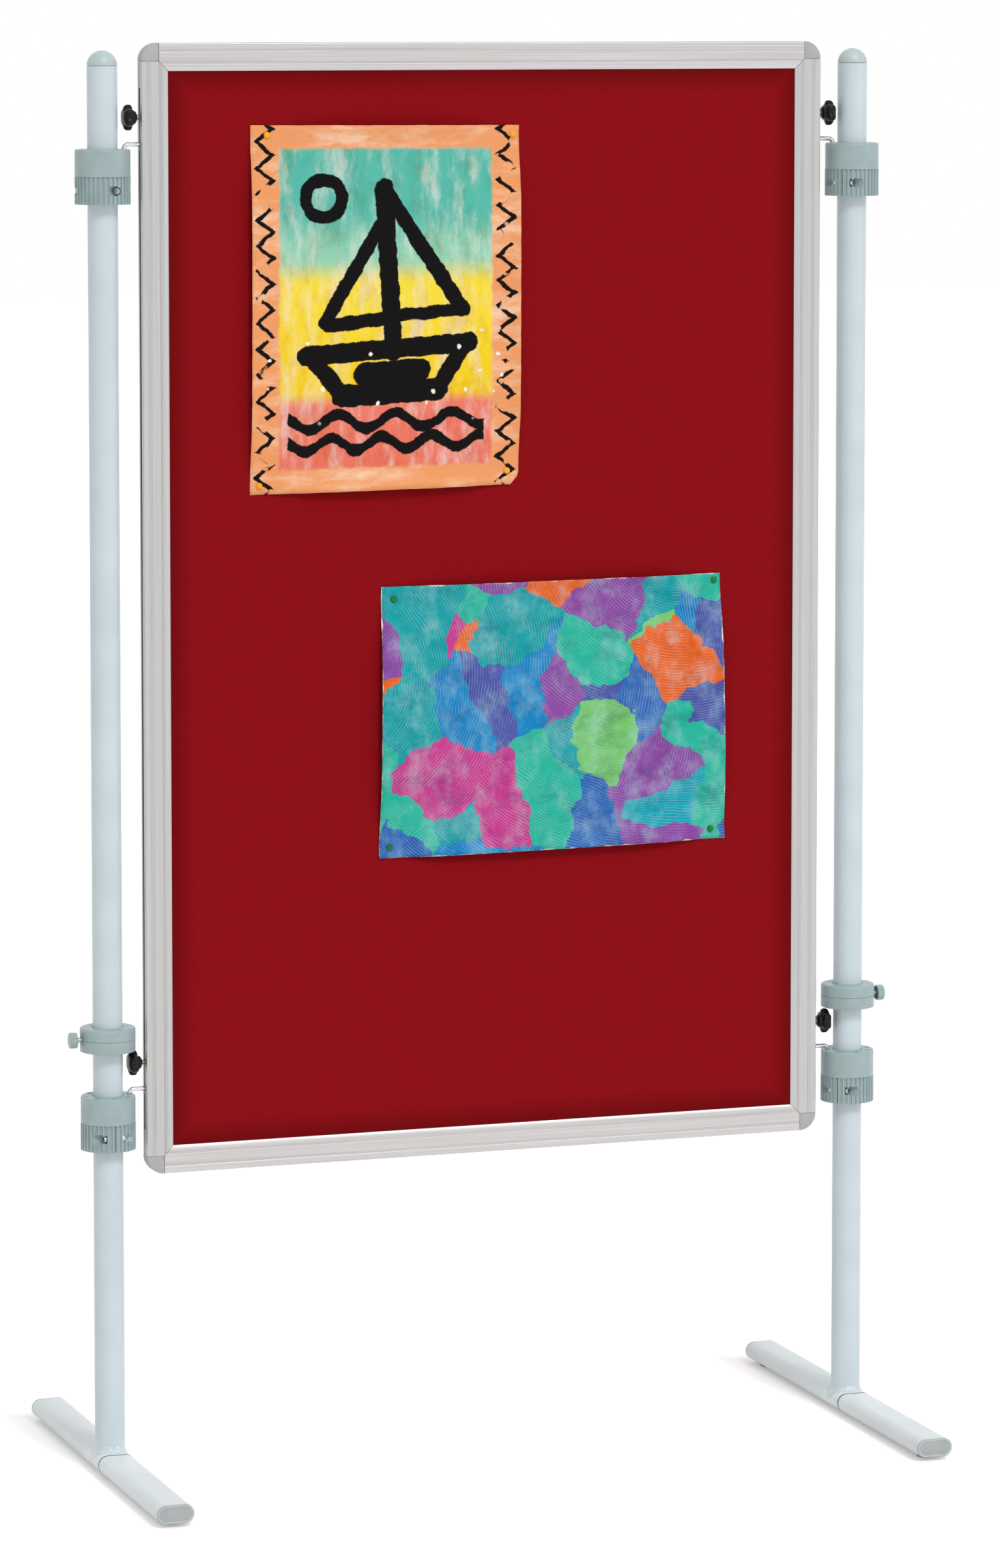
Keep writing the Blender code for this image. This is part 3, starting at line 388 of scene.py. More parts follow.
def coat_on_weld():
    """The posts' coat over the drops of a weld, with small near-white specks in its colour: painted
    highlights where the drops would catch the light.
    """
    material, shader = new_material("powder_coat_on_weld", Coat_Weight=0.3, Coat_Roughness=0.12)
    place = object_coordinates(material)
    # Painted highlights: the ramp's light end is near white, so small specks over the weld read as glints
    tones = grained_colour(material, shader, place, "c8d5dc", "f2f5f6", grain=0.003)
    tones.color_ramp.elements[0].position = 0.58
    tones.color_ramp.elements[1].position = 0.70
    grained_surface(material, shader, place, grain=0.0026, height=0.0004, rough=(0.2, 0.3))
    return material


POST_COAT = powder_coat("powder_coat_blue_grey", "c4d2d8", "cbd9df")
FOOT_COAT = powder_coat("powder_coat_pale", "dbe4e7", "e2eaed")
WELD_COAT = coat_on_weld()
print("coats:", POST_COAT.name, FOOT_COAT.name, WELD_COAT.name)

# %% [markdown]
# ## Moulded plastics
#
# Collars, rings, caps, plugs and knobs are injection moulded. The tool's steel was spark-eroded, which
# leaves a grain of a few tenths of a millimetre, and the melt leaves slow clouds of tone. All the plastics
# share one recipe, with their own colours, grain and polish.

# %% Moulded plastics
def moulded(name, dark, light, rough, grain=0.0006, height=0.00002, gloss=0.5):
    material, shader = new_material(name, IOR=1.49, Specular_IOR_Level=gloss)
    place = object_coordinates(material)
    grained_colour(material, shader, place, dark, light, grain=0.018)
    grained_surface(material, shader, place, grain=grain, height=height, rough=rough)
    return material


SAGE = moulded("moulded_nylon_sage", "97abad", "9fb3b4", rough=(0.3, 0.44))
PALE_SAGE = moulded("moulded_nylon_pale_sage", "b1c2c1", "b9c9c8", rough=(0.3, 0.42))
GREY = moulded("moulded_abs_grey", "a6aaa9", "aeb2b0", rough=(0.42, 0.56))
PLUG_GREY = moulded("moulded_polyethylene_grey", "b6bebe", "bec5c4", rough=(0.4, 0.55))
# The plug's face material is rougher, and a shade darker as painted shade for its recess
PLUG_GRAIN_AND_SHADE = moulded("moulded_polyethylene_grained_shaded", "a4aaac", "acb2b3", rough=(0.55, 0.7), height=0.00004)
BLACK = moulded("moulded_abs_black", "0a0709", "0e0b0c", rough=(0.26, 0.38), gloss=0.22)
GREEN_PIN = moulded("moulded_polystyrene_green", "0a6a28", "108236", rough=(0.18, 0.26), gloss=0.2)
YELLOW_PIN = moulded("moulded_polystyrene_yellow", "f0a000", "fab80c", rough=(0.18, 0.26), gloss=0.3)
PLASTICS = [SAGE, PALE_SAGE, GREY, PLUG_GREY, PLUG_GRAIN_AND_SHADE, BLACK, GREEN_PIN, YELLOW_PIN]
print("plastics:", [plastic.name for plastic in PLASTICS])

# %% [markdown]
# ## Metals
#
# The frame is extruded aluminium. The die draws fine lines along it, and the anodising that follows keeps
# them and dulls the shine. The lines could be cut into the mesh, but they are hundredths of a millimetre
# deep, so a noise pulled out along the rail draws them. The hooks are chromed, and the screws have a thin
# zinc plate, whose crystals make slightly lighter and darker patches.

# %% Anodised aluminium, chrome, zinc plate and brass
def drawn_lines(material, along, across=0.0011, length=0.30):
    """Coordinates in which noise turns into fine lines along one axis."""
    scale = [1 / across] * 3
    scale["XYZ".index(along)] = 1 / length
    links = {"Vector": object_coordinates(material)}
    return add_node(material, "Mapping", values={"Scale": scale}, links=links).outputs["Vector"]


def anodised(name, along, dark, light):
    material, shader = new_material(name, Metallic=1.0)
    lines = drawn_lines(material, along)
    grained_colour(material, shader, lines, dark, light, grain=1.0, softness=3.0)
    grained_surface(material, shader, lines, grain=1.0, height=0.000025, rough=(0.36, 0.5))
    return material


def plated(name, dark, light, rough, patch):
    material, shader = new_material(name, Metallic=1.0)
    place = object_coordinates(material)
    grained_colour(material, shader, place, dark, light, grain=patch)
    grained_surface(material, shader, place, grain=patch, height=0.000004, rough=rough)
    return material


UPRIGHT_METAL = anodised("anodised_aluminium_upright", "Z", "b0b0b0", "bebebe")
CROSS_METAL = anodised("anodised_aluminium_cross", "X", "b4b2b2", "c9c6c6")
CHROME = plated("bright_chrome", "c9cbcd", "d8dadc", rough=(0.07, 0.14), patch=0.012)
ZINC = plated("zinc_plate", "a9adb1", "c2c5c8", rough=(0.26, 0.4), patch=0.0015)
BRASS = plated("yellow_passivated_stud", "84745a", "9a896c", rough=(0.25, 0.36), patch=0.002)
print("metals:", [m.name for m in (UPRIGHT_METAL, CROSS_METAL, CHROME, ZINC, BRASS)])

# %% [markdown]
# ## Pressed felt and fibreboard
#
# The panel is soft fibreboard with needled felt pressed on both faces. Felt has no weave: short fibres lie
# every way, and their ends catch a soft haze of light, which is what sheen is for. Real fibres are 0.03 mm
# thick and can't show from here, so the tufts are drawn about a millimetre wide. A few centimetres along the
# frame the felt's colour is darker: painted shade that stands for the frame's shade on the felt.

# %% Felt and fibreboard
FELT_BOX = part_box("felt_front")
FELT_HALVES = (FELT_BOX[1] - FELT_BOX[0]) / 2
FELT_MIDDLE = (FELT_BOX[1] + FELT_BOX[0]) / 2
# Painted shade along the frame: how far in from the felt's edge it reaches, and how dark the colour gets
# there
PAINTED_SHADE_BAND = 0.055
PAINTED_SHADE_LEVEL = 0.62
TUFT_WIDTH = 0.0011
TUFT_CURL = 0.006
TUFT_BEND = 0.002


def from_the_edge(material, place):
    """How far a place on the felt is inside its nearest edge, in metres."""
    centred = vector_sums(material, "SUBTRACT", place, (FELT_MIDDLE.x, 0.0, FELT_MIDDLE.z))
    absolute = vector_sums(material, "ABSOLUTE", centred)
    inside = vector_sums(material, "SUBTRACT", (FELT_HALVES.x, 1.0, FELT_HALVES.z), absolute)
    parts = add_node(material, "SeparateXYZ", links={"Vector": inside})
    return sums(material, "MINIMUM", parts.outputs["X"], parts.outputs["Z"])


def felt_with_painted_shade():
    material, shader = new_material(
        "needled_felt_red",
        Sheen_Weight=0.02,
        Sheen_Roughness=0.45,
        Specular_IOR_Level=0.06,
    )
    place = object_coordinates(material)
    curl = add_node(material, "TexNoise", values={"Scale": 1 / TUFT_CURL}, links={"Vector": place})
    fibres = vector_sums(material, "MULTIPLY_ADD", curl.outputs["Color"], (TUFT_BEND,) * 3, place)
    tones = grained_colour(material, shader, fibres, "800c13", "950f18", grain=TUFT_WIDTH, softness=5.0)
    # Painted shade: the colour darkens towards the frame, standing for the frame's shade on the felt
    flat = add_node(material, "MapRange", settings={"interpolation_type": "SMOOTHERSTEP"})
    flat.inputs["From Max"].default_value = PAINTED_SHADE_BAND
    flat.inputs["To Min"].default_value = PAINTED_SHADE_LEVEL
    join_nodes(material, from_the_edge(material, place), flat.inputs["Value"])
    links = {0: tones.outputs["Color"], "Scale": flat.outputs["Result"]}
    shade = add_node(material, "VectorMath", settings={"operation": "SCALE"}, links=links)
    join_nodes(material, shade.outputs["Vector"], shader.inputs["Base Color"])
    grained_surface(material, shader, fibres, grain=TUFT_WIDTH, height=0.0003, rough=(0.9, 1.0), detail=5.0)
    return material


def pressed_fibres():
    material, shader = new_material("soft_fibreboard")
    place = object_coordinates(material)
    grained_colour(material, shader, place, "7c6548", "a88c64", grain=0.0025, softness=6.0)
    grained_surface(material, shader, place, grain=0.0025, height=0.0004, rough=(0.85, 0.95))
    return material


FELT = felt_with_painted_shade()
FIBREBOARD = pressed_fibres()
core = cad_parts["board_core"]
core.data.materials.clear()
core.data.materials.append(FIBREBOARD)
print("panel:", FELT.name, FIBREBOARD.name)

# %% [markdown]
# ## The posts and their caps
#
# Each post is a round steel tube. It could be a cylinder, but a cylinder has no wall, and the tube's end has
# to sit on the round top of the foot. So a wall is spun all round, and then the points at its lower end are
# moved to the height of the foot's crown, which falls away on both sides of the foot's middle.

# %% Posts
POST_RADIUS = 0.020
POST_WALL = 0.002
FOOT_WIDTH = 0.050
FOOT_HEIGHT = 0.025
GLIDE_HEIGHT = 0.005
FIT = 0.0003
POST_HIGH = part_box("left_post")[1].z


def crown_height(x):
    """How high the outside of the foot's flat oval tube is, at a distance from its middle."""
    radius = FOOT_HEIGHT / 2
    beyond = max(0.0, abs(x) - (FOOT_WIDTH / 2 - radius))
    return GLIDE_HEIGHT + radius + math.sqrt(max(0.0, radius**2 - beyond**2))


def post_shape():
    inner = POST_RADIUS - POST_WALL
    low = GLIDE_HEIGHT + FOOT_HEIGHT / 2
    wall = [(POST_RADIUS, POST_HIGH), (POST_RADIUS, low), (inner, low), (inner, POST_HIGH)]
    shape = turned(wall + wall[:1], steps=FINE_STEPS)
    for vert in shape.verts:
        if vert.co.z < low + FIT:
            vert.co.z = crown_height(vert.co.x) + FIT
    return shape


post = post_shape()
for side, place in POSTS.items():
    shape = placed(post, shift(x=place.x))
    body, node = f"{side}_stand", f"{side}_post"
    make_piece(shape, f"{node}_tube", body, POST_COAT, [node])
post.free()
print("posts reach", round(POST_HIGH, 4), "m")

# %% Caps
CAP_SKIRT = 0.0008
CAP_STEM = 0.022


def cap_shape():
    """A half ball on a short skirt, which leaves a thin dark line over the tube, and its stem."""
    dome = []
    rings = 16
    for ring in range(rings + 1):
        angle = math.pi / 2 * ring / rings
        dome.append((POST_RADIUS * math.sin(angle), FIT + POST_RADIUS * math.cos(angle)))
    dome[-1] = (POST_RADIUS, FIT + CAP_SKIRT)
    stem = POST_RADIUS - POST_WALL - FIT
    under = [(POST_RADIUS - CAP_SKIRT, FIT), (stem, FIT), (stem, -CAP_STEM), (0.0, -CAP_STEM)]
    return turned(dome + under, steps=FINE_STEPS)


cap = cap_shape()
for side, place in POSTS.items():
    shape = placed(cap, shift(x=place.x, z=POST_HIGH))
    make_piece(shape, f"{side}_post_dome", f"{side}_stand", PALE_SAGE, [f"{side}_post_cap"])
cap.free()
print("caps are", round(POST_RADIUS * 2000), "mm across")

# %% [markdown]
# ## The feet
#
# A foot is flat oval tube in two lengths, which meet just in front of the post on a black joint ring.
# A circle whose two halves are moved apart gives the oval, and bridging one ring of edges to the next gives
# the wall. Rings that are a little smaller at the ends ease the cut edges, as the coat does.

# %% Foot tubes
OVAL_STEPS = 48
FOOT_MIDDLE = GLIDE_HEIGHT + FOOT_HEIGHT / 2
EASED = 0.0005
JOINT_WIDTH = 0.0022
JOINT_PROUD = 0.0001


def oval_ring(shape, width, height, y, z=FOOT_MIDDLE):
    """A ring of edges across Y, in the outline of a flat oval."""
    half_step = math.pi / OVAL_STEPS
    place = turn(math.pi / 2, "X") @ turn(half_step, "Z")
    verts, edges = edges_round(shape, OVAL_STEPS, height / 2, place)
    reach = (width - height) / 2
    for vert in verts:
        vert.co += Vector((math.copysign(reach, vert.co.x), y, z))
    return edges


def loft(shape, rings, closed=False):
    """Bridges each ring of edges to the next."""
    pairs = list(zip(rings, rings[1:]))
    if closed:
        pairs.append((rings[-1], rings[0]))
    for near, far in pairs:
        bmesh.ops.bridge_loops(shape, edges=near + far)


def foot_tube(start, end):
    """A tube with eased ends, from one place on Y to another."""
    shape = bmesh.new()
    inner = (FOOT_WIDTH - 2 * POST_WALL, FOOT_HEIGHT - 2 * POST_WALL)
    outer = (FOOT_WIDTH, FOOT_HEIGHT)
    eased = (FOOT_WIDTH - 2 * EASED, FOOT_HEIGHT - 2 * EASED)
    stations = [
        (eased, start),
        (outer, start + EASED),
        (outer, end - EASED),
        (eased, end),
        (inner, end),
        (inner, start),
    ]
    loft(shape, [oval_ring(shape, *size, y) for size, y in stations], closed=True)
    return shape


def joint_ring():
    """A flat black ring that fills the seam, a hair proud of both tubes, so the seam shows as a dark line.
    """
    outer = (FOOT_WIDTH + 2 * JOINT_PROUD, FOOT_HEIGHT + 2 * JOINT_PROUD)
    inner = (FOOT_WIDTH - 2 * POST_WALL, FOOT_HEIGHT - 2 * POST_WALL)
    start, end = SEAM_PLACE - JOINT_WIDTH, SEAM_PLACE - FIT
    shape = bmesh.new()
    stations = [(outer, start), (outer, end), (inner, end), (inner, start)]
    loft(shape, [oval_ring(shape, *size, y) for size, y in stations], closed=True)
    return shape


SEAM_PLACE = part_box("left_foot_rear")[0].y
for side, place in POSTS.items():
    shape = placed(joint_ring(), shift(x=place.x))
    make_piece(shape, f"{side}_foot_joint_ring", f"{side}_stand", BLACK)
    for part in ("rear", "front"):
        node = f"{side}_foot_{part}"
        low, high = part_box(node)
        ends = (low.y, high.y) if part == "rear" else (low.y, SEAM_PLACE - JOINT_WIDTH - FIT)
        tube = foot_tube(*ends)
        shape = placed(tube, shift(x=place.x))
        tube.free()
        make_piece(shape, f"{node}_tube", f"{side}_stand", FOOT_COAT, [node])
        print(node, "from", round(ends[0], 4), "to", round(ends[1], 4))

# %% [markdown]
# ## The weld
#
# Where the post meets the foot there is a weld under the paint. It fills the corner in a hollow curve, and a
# welder lays it in overlapping drops, so it is lumpy. A hollow profile is spun round the post, laid on the
# foot's crown, and its points are pushed in and out by noise whose lumps are about as long as a drop.

# %% Weld beads
WELD_RISE = 0.0085
WELD_REACH = 0.0055
WELD_STEPS = 8
WELD_SUNK = 0.0006
WELD_CLEAR = 0.00004
DROP_LENGTH = 0.0038
DROP_SWING = 0.0006
DROP_PROUD = 0.35
TOE_FADE = 0.001


def weld_profile():
    """A quarter of an oval, hollow towards the corner, from the post's side to the foot's top."""
    inner = POST_RADIUS + WELD_CLEAR
    points = []
    for step in range(WELD_STEPS + 1):
        angle = math.pi / 2 * step / WELD_STEPS
        across = inner + WELD_REACH * (1 - math.cos(angle))
        points.append((across, WELD_RISE * (1 - math.sin(angle))))
    return points + [(inner + WELD_REACH, -WELD_SUNK), (inner, -2 * WELD_SUNK), (inner, WELD_RISE)]


def weld_shape(seed):
    shape = turned(weld_profile(), steps=160)
    for vert in shape.verts:
        outward = Vector((vert.co.x, vert.co.y, 0.0)).normalized()
        reach = vert.co.xy.length - POST_RADIUS
        lump = noise.noise(vert.co / DROP_LENGTH + Vector((0.0, 0.0, seed)))
        share = min(1.0, reach / DROP_SWING) * min(1.0, max(0.0, (vert.co.z + WELD_SUNK) / TOE_FADE))
        vert.co += (outward * DROP_SWING + Vector((0.0, 0.0, DROP_SWING))) * (lump + DROP_PROUD) * share
        vert.co.z += crown_height(vert.co.x)
    return shape


for seed, (side, place) in enumerate(POSTS.items()):
    bead = weld_shape(seed * 7.0)
    shape = placed(bead, shift(x=place.x))
    bead.free()
    make_piece(shape, f"{side}_foot_weld", f"{side}_stand", WELD_COAT, smooth_below=80)
print("weld drops about", DROP_LENGTH * 1000, "mm long")

# %% [markdown]
# ## Plugs and glides
#
# A grey plug closes each end of a foot. Its rim has a chamfer, and its face lies a step deeper than the
# rim. The rings of its outline are lofted from the sleeve inside the tube to the middle of the face. The
# mould is smooth at the rim and grained on the face, so the face gets its own material, grained and a
# shade darker: painted shade for the recessed face. The glides under the feet are plain turned pads.

# %% Plugs
PLUG_FLANGE = 0.003
PLUG_CHAMFER = 0.0008
PLUG_RIM = 0.0019
PLUG_STEP = 0.0008
PLUG_SLEEVE = 0.014
FOOT_END = 0.312


def plug_shape():
    """The front plug, with its face at the foot's front end."""
    face = -FOOT_END
    rim = PLUG_CHAMFER + PLUG_RIM
    # How far each ring lies inside the tube's outline, and how deep behind the face
    stations = [
        (POST_WALL + FIT, PLUG_FLANGE + PLUG_SLEEVE),
        (POST_WALL + FIT, PLUG_FLANGE),
        (0.0, PLUG_FLANGE),
        (0.0, PLUG_CHAMFER),
        (PLUG_CHAMFER, 0.0),
        (rim, 0.0),
        (rim + 0.0006, PLUG_STEP),
        (rim + 0.0030, PLUG_STEP * 0.7),
        (rim + 0.0060, PLUG_STEP * 0.6),
    ]
    shape = bmesh.new()
    rings = []
    for inset, depth in stations:
        rings.append(oval_ring(shape, FOOT_WIDTH - 2 * inset, FOOT_HEIGHT - 2 * inset, face + depth))
    loft(shape, rings)
    cap_ring(shape, rings[0])
    cap_ring(shape, rings[-1])
    return shape


def grain_and_shade_the_face(piece):
    """Gives the second material to what lies deeper than the rim and looks outwards."""
    # The second material is grained, and darker as painted shade for the recessed face
    piece.data.materials.append(PLUG_GRAIN_AND_SHADE)
    for face in piece.data.polygons:
        depth = FOOT_END - abs(face.center.y)
        if PLUG_STEP * 0.4 < depth < PLUG_STEP and abs(face.normal.y) > 0.7:
            face.material_index = 1


plug = plug_shape()
for side, place in POSTS.items():
    for end, facing in (("front", 0.0), ("rear", math.pi)):
        node = f"{side}_foot_plug_{end}"
        shape = placed(plug, turn(facing, "Z"), shift(x=place.x))
        body = f"{side}_stand"
        grain_and_shade_the_face(make_piece(shape, f"{node}_moulding", body, PLUG_GREY, [node]))
plug.free()
print("plug sleeve", PLUG_SLEEVE * 1000, "mm long")

# %% Glides
GLIDE_RADIUS = 0.013
GLIDE_STEM = 0.004
GLIDE_PROFILE = [
    (0.0, GLIDE_HEIGHT + 0.004),
    (GLIDE_STEM, GLIDE_HEIGHT + 0.004),
    (GLIDE_STEM, GLIDE_HEIGHT - FIT),
    (GLIDE_RADIUS, GLIDE_HEIGHT - FIT),
    (GLIDE_RADIUS, 0.0012),
    (GLIDE_RADIUS - 0.0004, 0.0004),
    (GLIDE_RADIUS - 0.0012, 0.0),
    (0.0, 0.0),
]
glide = turned(GLIDE_PROFILE, steps=48)
for side in SIDES:
    for end in ("front", "rear"):
        node = f"{side}_glide_{end}"
        middle = node_middle(node)
        shape = placed(glide, shift(middle.x, middle.y))
        make_piece(shape, f"{node}_pad", f"{side}_stand", GREY, [node])
glide.free()
print("glides are", GLIDE_RADIUS * 2000, "mm across")

# %% [markdown]
# ## The collars
#
# A collar is one moulding: a plain ring with a circle of holes that the hooks drop into, over the nut half
# of a ribbed clamp. The other half is a separate jaw. Ribs could be copied bars, but the real ones are the
# outline of the part. So a fine circle is made, its points are moved in and out to the ribs' section, and
# the outline is extruded. Holes and screw pockets are then drilled with Booleans, as the tool's pins do it.

# %% The ribbed half
COLLAR_RADIUS = 0.0365
BORE_RADIUS = POST_RADIUS + FIT
CLAMP_HEIGHT = 0.036
COLLAR_HEIGHT = 0.072
RIB_COUNT = 36
RIB_STEPS = 12
RIB_HEIGHT = 0.0024
RIB_PROUD = 0.0002
RIB_TOP_SHARE = 0.36
RIB_FOOT_SHARE = 0.54
SPLIT_GAP = 0.0008
JOIN_DEPTH = 0.0002
JAW_GAP = 0.0001


def rib_radius(angle):
    """The clamp's outer radius: narrow ribs with rounded sides, and a wide flat groove between each two."""
    share = abs((angle * RIB_COUNT / (2 * math.pi)) % 1.0 - 0.5) * 2
    depth = min(1.0, max(0.0, (share - RIB_TOP_SHARE) / (RIB_FOOT_SHARE - RIB_TOP_SHARE)))
    return COLLAR_RADIUS + RIB_PROUD - RIB_HEIGHT * (1 - math.cos(math.pi * depth)) / 2


def extruded_rings(outer, inner, low, high):
    """A shape between an outer and an inner ring of points, from one height to another."""
    shape = bmesh.new()
    rims = []
    for steps, radius_of in (outer, inner):
        verts, edges = edges_round(shape, steps, 1.0, shift(z=low))
        for vert in verts:
            radius = radius_of(math.atan2(vert.co.y, vert.co.x))
            vert.co.x *= radius
            vert.co.y *= radius
        rims += edges
    bmesh.ops.triangle_fill(shape, use_beauty=True, use_dissolve=False, edges=rims)
    faces_out(shape, (0.0, 0.0, high - low))
    bmesh.ops.recalc_face_normals(shape, faces=shape.faces)
    return shape


def cut_away(shape, point, normal):
    """Slices a closed shape, and closes the cut."""
    rim = sliced(shape, point, normal)
    bmesh.ops.triangle_fill(shape, use_beauty=True, use_dissolve=False, edges=rim)
    bmesh.ops.recalc_face_normals(shape, faces=shape.faces)
    return shape


def clamp_half(side):
    """The nuts' half is on the +X side, and the jaw with the screws' heads on the -X side.

    The nuts' half runs up into the ring, because they are one moulding. The jaw stays a little under it.
    """
    ribs = (RIB_COUNT * RIB_STEPS, rib_radius)
    bore = (ROUND_STEPS, lambda angle: BORE_RADIUS)
    top = CLAMP_HEIGHT + JOIN_DEPTH if side > 0 else CLAMP_HEIGHT - JAW_GAP
    shape = extruded_rings(ribs, bore, 0.0, top)
    return cut_away(shape, (side * SPLIT_GAP / 2, 0.0, 0.0), (-side, 0.0, 0.0))


print("rib pitch", round(2 * math.pi * COLLAR_RADIUS / RIB_COUNT * 1000, 1), "mm")

# %% The drills: hook holes, head pockets and nut pockets
HOLE_COUNT = 8
HOLE_RADIUS = 0.0035
HOLE_DEPTH = 0.030
HOLE_MOUTH = 0.0006
HOOK_RADIUS = 0.029
SCREW_OFFSET = 0.0284
SCREW_LAND = 0.010
SCREW_RADIUS = 0.003
HEAD_POCKET_RADIUS = 0.0066
NUT_HALF_FLATS = 0.005
OVERRUN = 0.004


def hook_drills():
    """Eight drills with flared mouths, which leave a small chamfer round every hole."""
    top = COLLAR_HEIGHT
    profile = [
        (0.0, top + OVERRUN),
        (HOLE_RADIUS + HOLE_MOUTH + OVERRUN, top + OVERRUN),
        (HOLE_RADIUS, top - HOLE_MOUTH),
        (HOLE_RADIUS, top - HOLE_DEPTH),
        (0.0, top - HOLE_DEPTH),
    ]
    drill = turned(profile, steps=ROD_STEPS)
    step = 2 * math.pi / HOLE_COUNT
    drills = [placed(drill, shift(x=HOOK_RADIUS), turn(step * hole, "Z")) for hole in range(HOLE_COUNT)]
    drill.free()
    return gathered(*drills)


def lying(shape, x, y, z):
    """Lays a shape that stands on Z = 0 along X, starting at a point."""
    return placed(shape, turn(math.pi / 2, "Y"), Matrix.Translation((x, y, z)))


def pocket_drill(side, y):
    """A shank bore with a round pocket on the heads' side, or a six-sided one on the nuts' side."""
    z = CLAMP_HEIGHT / 2
    shank = rod(SCREW_RADIUS + FIT, SCREW_LAND + OVERRUN, steps=ROD_STEPS)
    reach = COLLAR_RADIUS + OVERRUN - SCREW_LAND
    if side < 0:
        pocket = rod(HEAD_POCKET_RADIUS, reach, steps=40)
        parts = [lying(shank, -SCREW_LAND - FIT, y, z), lying(pocket, -SCREW_LAND - reach, y, z)]
    else:
        pocket = six_sided(NUT_HALF_FLATS + FIT, reach)
        parts = [lying(shank, -OVERRUN + FIT, y, z), lying(pocket, SCREW_LAND, y, z)]
    shank.free()
    pocket.free()
    return combined(parts[0], parts[1], "UNION")


print("hook holes", HOLE_RADIUS * 2000, "mm across and", HOLE_DEPTH * 1000, "mm deep")

# %% Collar bodies and jaws
COLLAR_ROUND = 0.0024
BORE_CHAMFER = 0.0009
MOULD_EASE = 0.0003
COLLAR_STEPS = {"upper_left": 1, "lower_left": 0, "upper_right": -1, "lower_right": -1}


def collar_ring():
    """The plain ring, its outer edge rounded in six steps, drilled for the hooks."""
    arc = rounded_edge(COLLAR_RADIUS, COLLAR_HEIGHT, COLLAR_ROUND, steps=6)
    rest = [
        (COLLAR_RADIUS, CLAMP_HEIGHT + MOULD_EASE),
        (COLLAR_RADIUS - MOULD_EASE, CLAMP_HEIGHT),
        (BORE_RADIUS, CLAMP_HEIGHT),
        (BORE_RADIUS, COLLAR_HEIGHT - BORE_CHAMFER),
        (BORE_RADIUS + BORE_CHAMFER, COLLAR_HEIGHT),
    ]
    return combined(turned(arc + rest + arc[:1], steps=FINE_STEPS), hook_drills(), "DIFFERENCE")


def drilled_half(side):
    half = clamp_half(side)
    for y in (-SCREW_OFFSET, SCREW_OFFSET):
        half = combined(half, pocket_drill(side, y), "DIFFERENCE")
    return half


def collar_moves(corner):
    """How a collar drawn about its own axis goes to its place on its post."""
    level, side = corner.split("_")
    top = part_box(f"{corner}_collar")[1].z
    facing = FACINGS[side] + COLLAR_STEPS[corner] * 2 * math.pi / HOLE_COUNT
    return turn(facing, "Z"), shift(x=POSTS[side].x, z=top - COLLAR_HEIGHT)


collar = combined(collar_ring(), drilled_half(1), "UNION")
jaw = drilled_half(-1)
for corner in COLLAR_STEPS:
    body = f"{corner.split('_')[1]}_collars"
    shape = placed(collar, *collar_moves(corner))
    make_piece(shape, f"{corner}_collar_body", body, SAGE, [f"{corner}_collar"])
    shape = placed(jaw, *collar_moves(corner))
    make_piece(shape, f"{corner}_clamp_jaw", body, SAGE, [f"{corner}_collar_jaw"])
print("a collar has", len(collar.faces), "faces and a jaw", len(jaw.faces))
collar.free()
jaw.free()

# %% Clamp screws
HEAD_RADIUS = 0.0045
HEAD_HEIGHT = 0.004
SOCKET_HALF_FLATS = 0.0022
SOCKET_DEPTH = 0.0029
NUT_HEIGHT = 0.004
SCREW_TAIL = 0.001


def screw_shape():
    """Drawn standing, from the nut's tail at the bottom to the socket in the head."""
    seat = SCREW_LAND + FIT
    head = bevel_sharp(rod(HEAD_RADIUS, HEAD_HEIGHT, steps=40), 0.0004, segments=2)
    head = placed(head, shift(z=seat))
    socket = placed(six_sided(SOCKET_HALF_FLATS, OVERRUN), shift(z=seat + HEAD_HEIGHT - SOCKET_DEPTH))
    head = combined(head, socket, "DIFFERENCE")
    nut = bevel_sharp(six_sided(NUT_HALF_FLATS, NUT_HEIGHT), 0.0003, segments=1)
    nut = placed(nut, shift(z=-seat - NUT_HEIGHT))
    shank = rod(SCREW_RADIUS, 2 * seat + NUT_HEIGHT + SCREW_TAIL + FIT, steps=ROD_STEPS)
    shank = placed(shank, shift(z=-seat - NUT_HEIGHT - SCREW_TAIL))
    return combined(combined(head, shank, "UNION"), nut, "UNION")


screw = screw_shape()
for corner in COLLAR_STEPS:
    for letter, y in (("a", -SCREW_OFFSET), ("b", SCREW_OFFSET)):
        node = f"{corner}_clamp_screw_{letter}"
        laid = placed(screw, turn(-math.pi / 2, "Y"), shift(y=y, z=CLAMP_HEIGHT / 2))
        shape = placed(laid, *collar_moves(corner))
        laid.free()
        body = f"{corner.split('_')[1]}_collars"
        make_piece(shape, f"{node}_and_nut", body, ZINC, [node])
screw.free()
print("screws lie", SCREW_OFFSET * 1000, "mm from the post's axis")

# %% [markdown]
# ## The stop rings
#
# A ring of two shells sits on each post, just over the lower knob, and keeps the hooks from being lifted
# out. Its upper edge is well rounded, a thin seam runs round it, and a knurled thumbscrew goes in at the
# seam. The shells are turned, and a channel for the screw's stud is cut through both.

# %% Ring shells
RING_RADIUS = 0.037
SHELL_HEIGHT = 0.016
RING_ROUND = 0.003
RING_CHAMFER = 0.0012
RING_FOOT_ROUND = 0.001
STUD_RADIUS = 0.003


def stud_channel():
    drill = rod(STUD_RADIUS + FIT, RING_RADIUS, steps=ROD_STEPS)
    channel = placed(drill, turn(-math.pi / 2, "Y"), shift(x=-POST_RADIUS / 2))
    drill.free()
    return channel


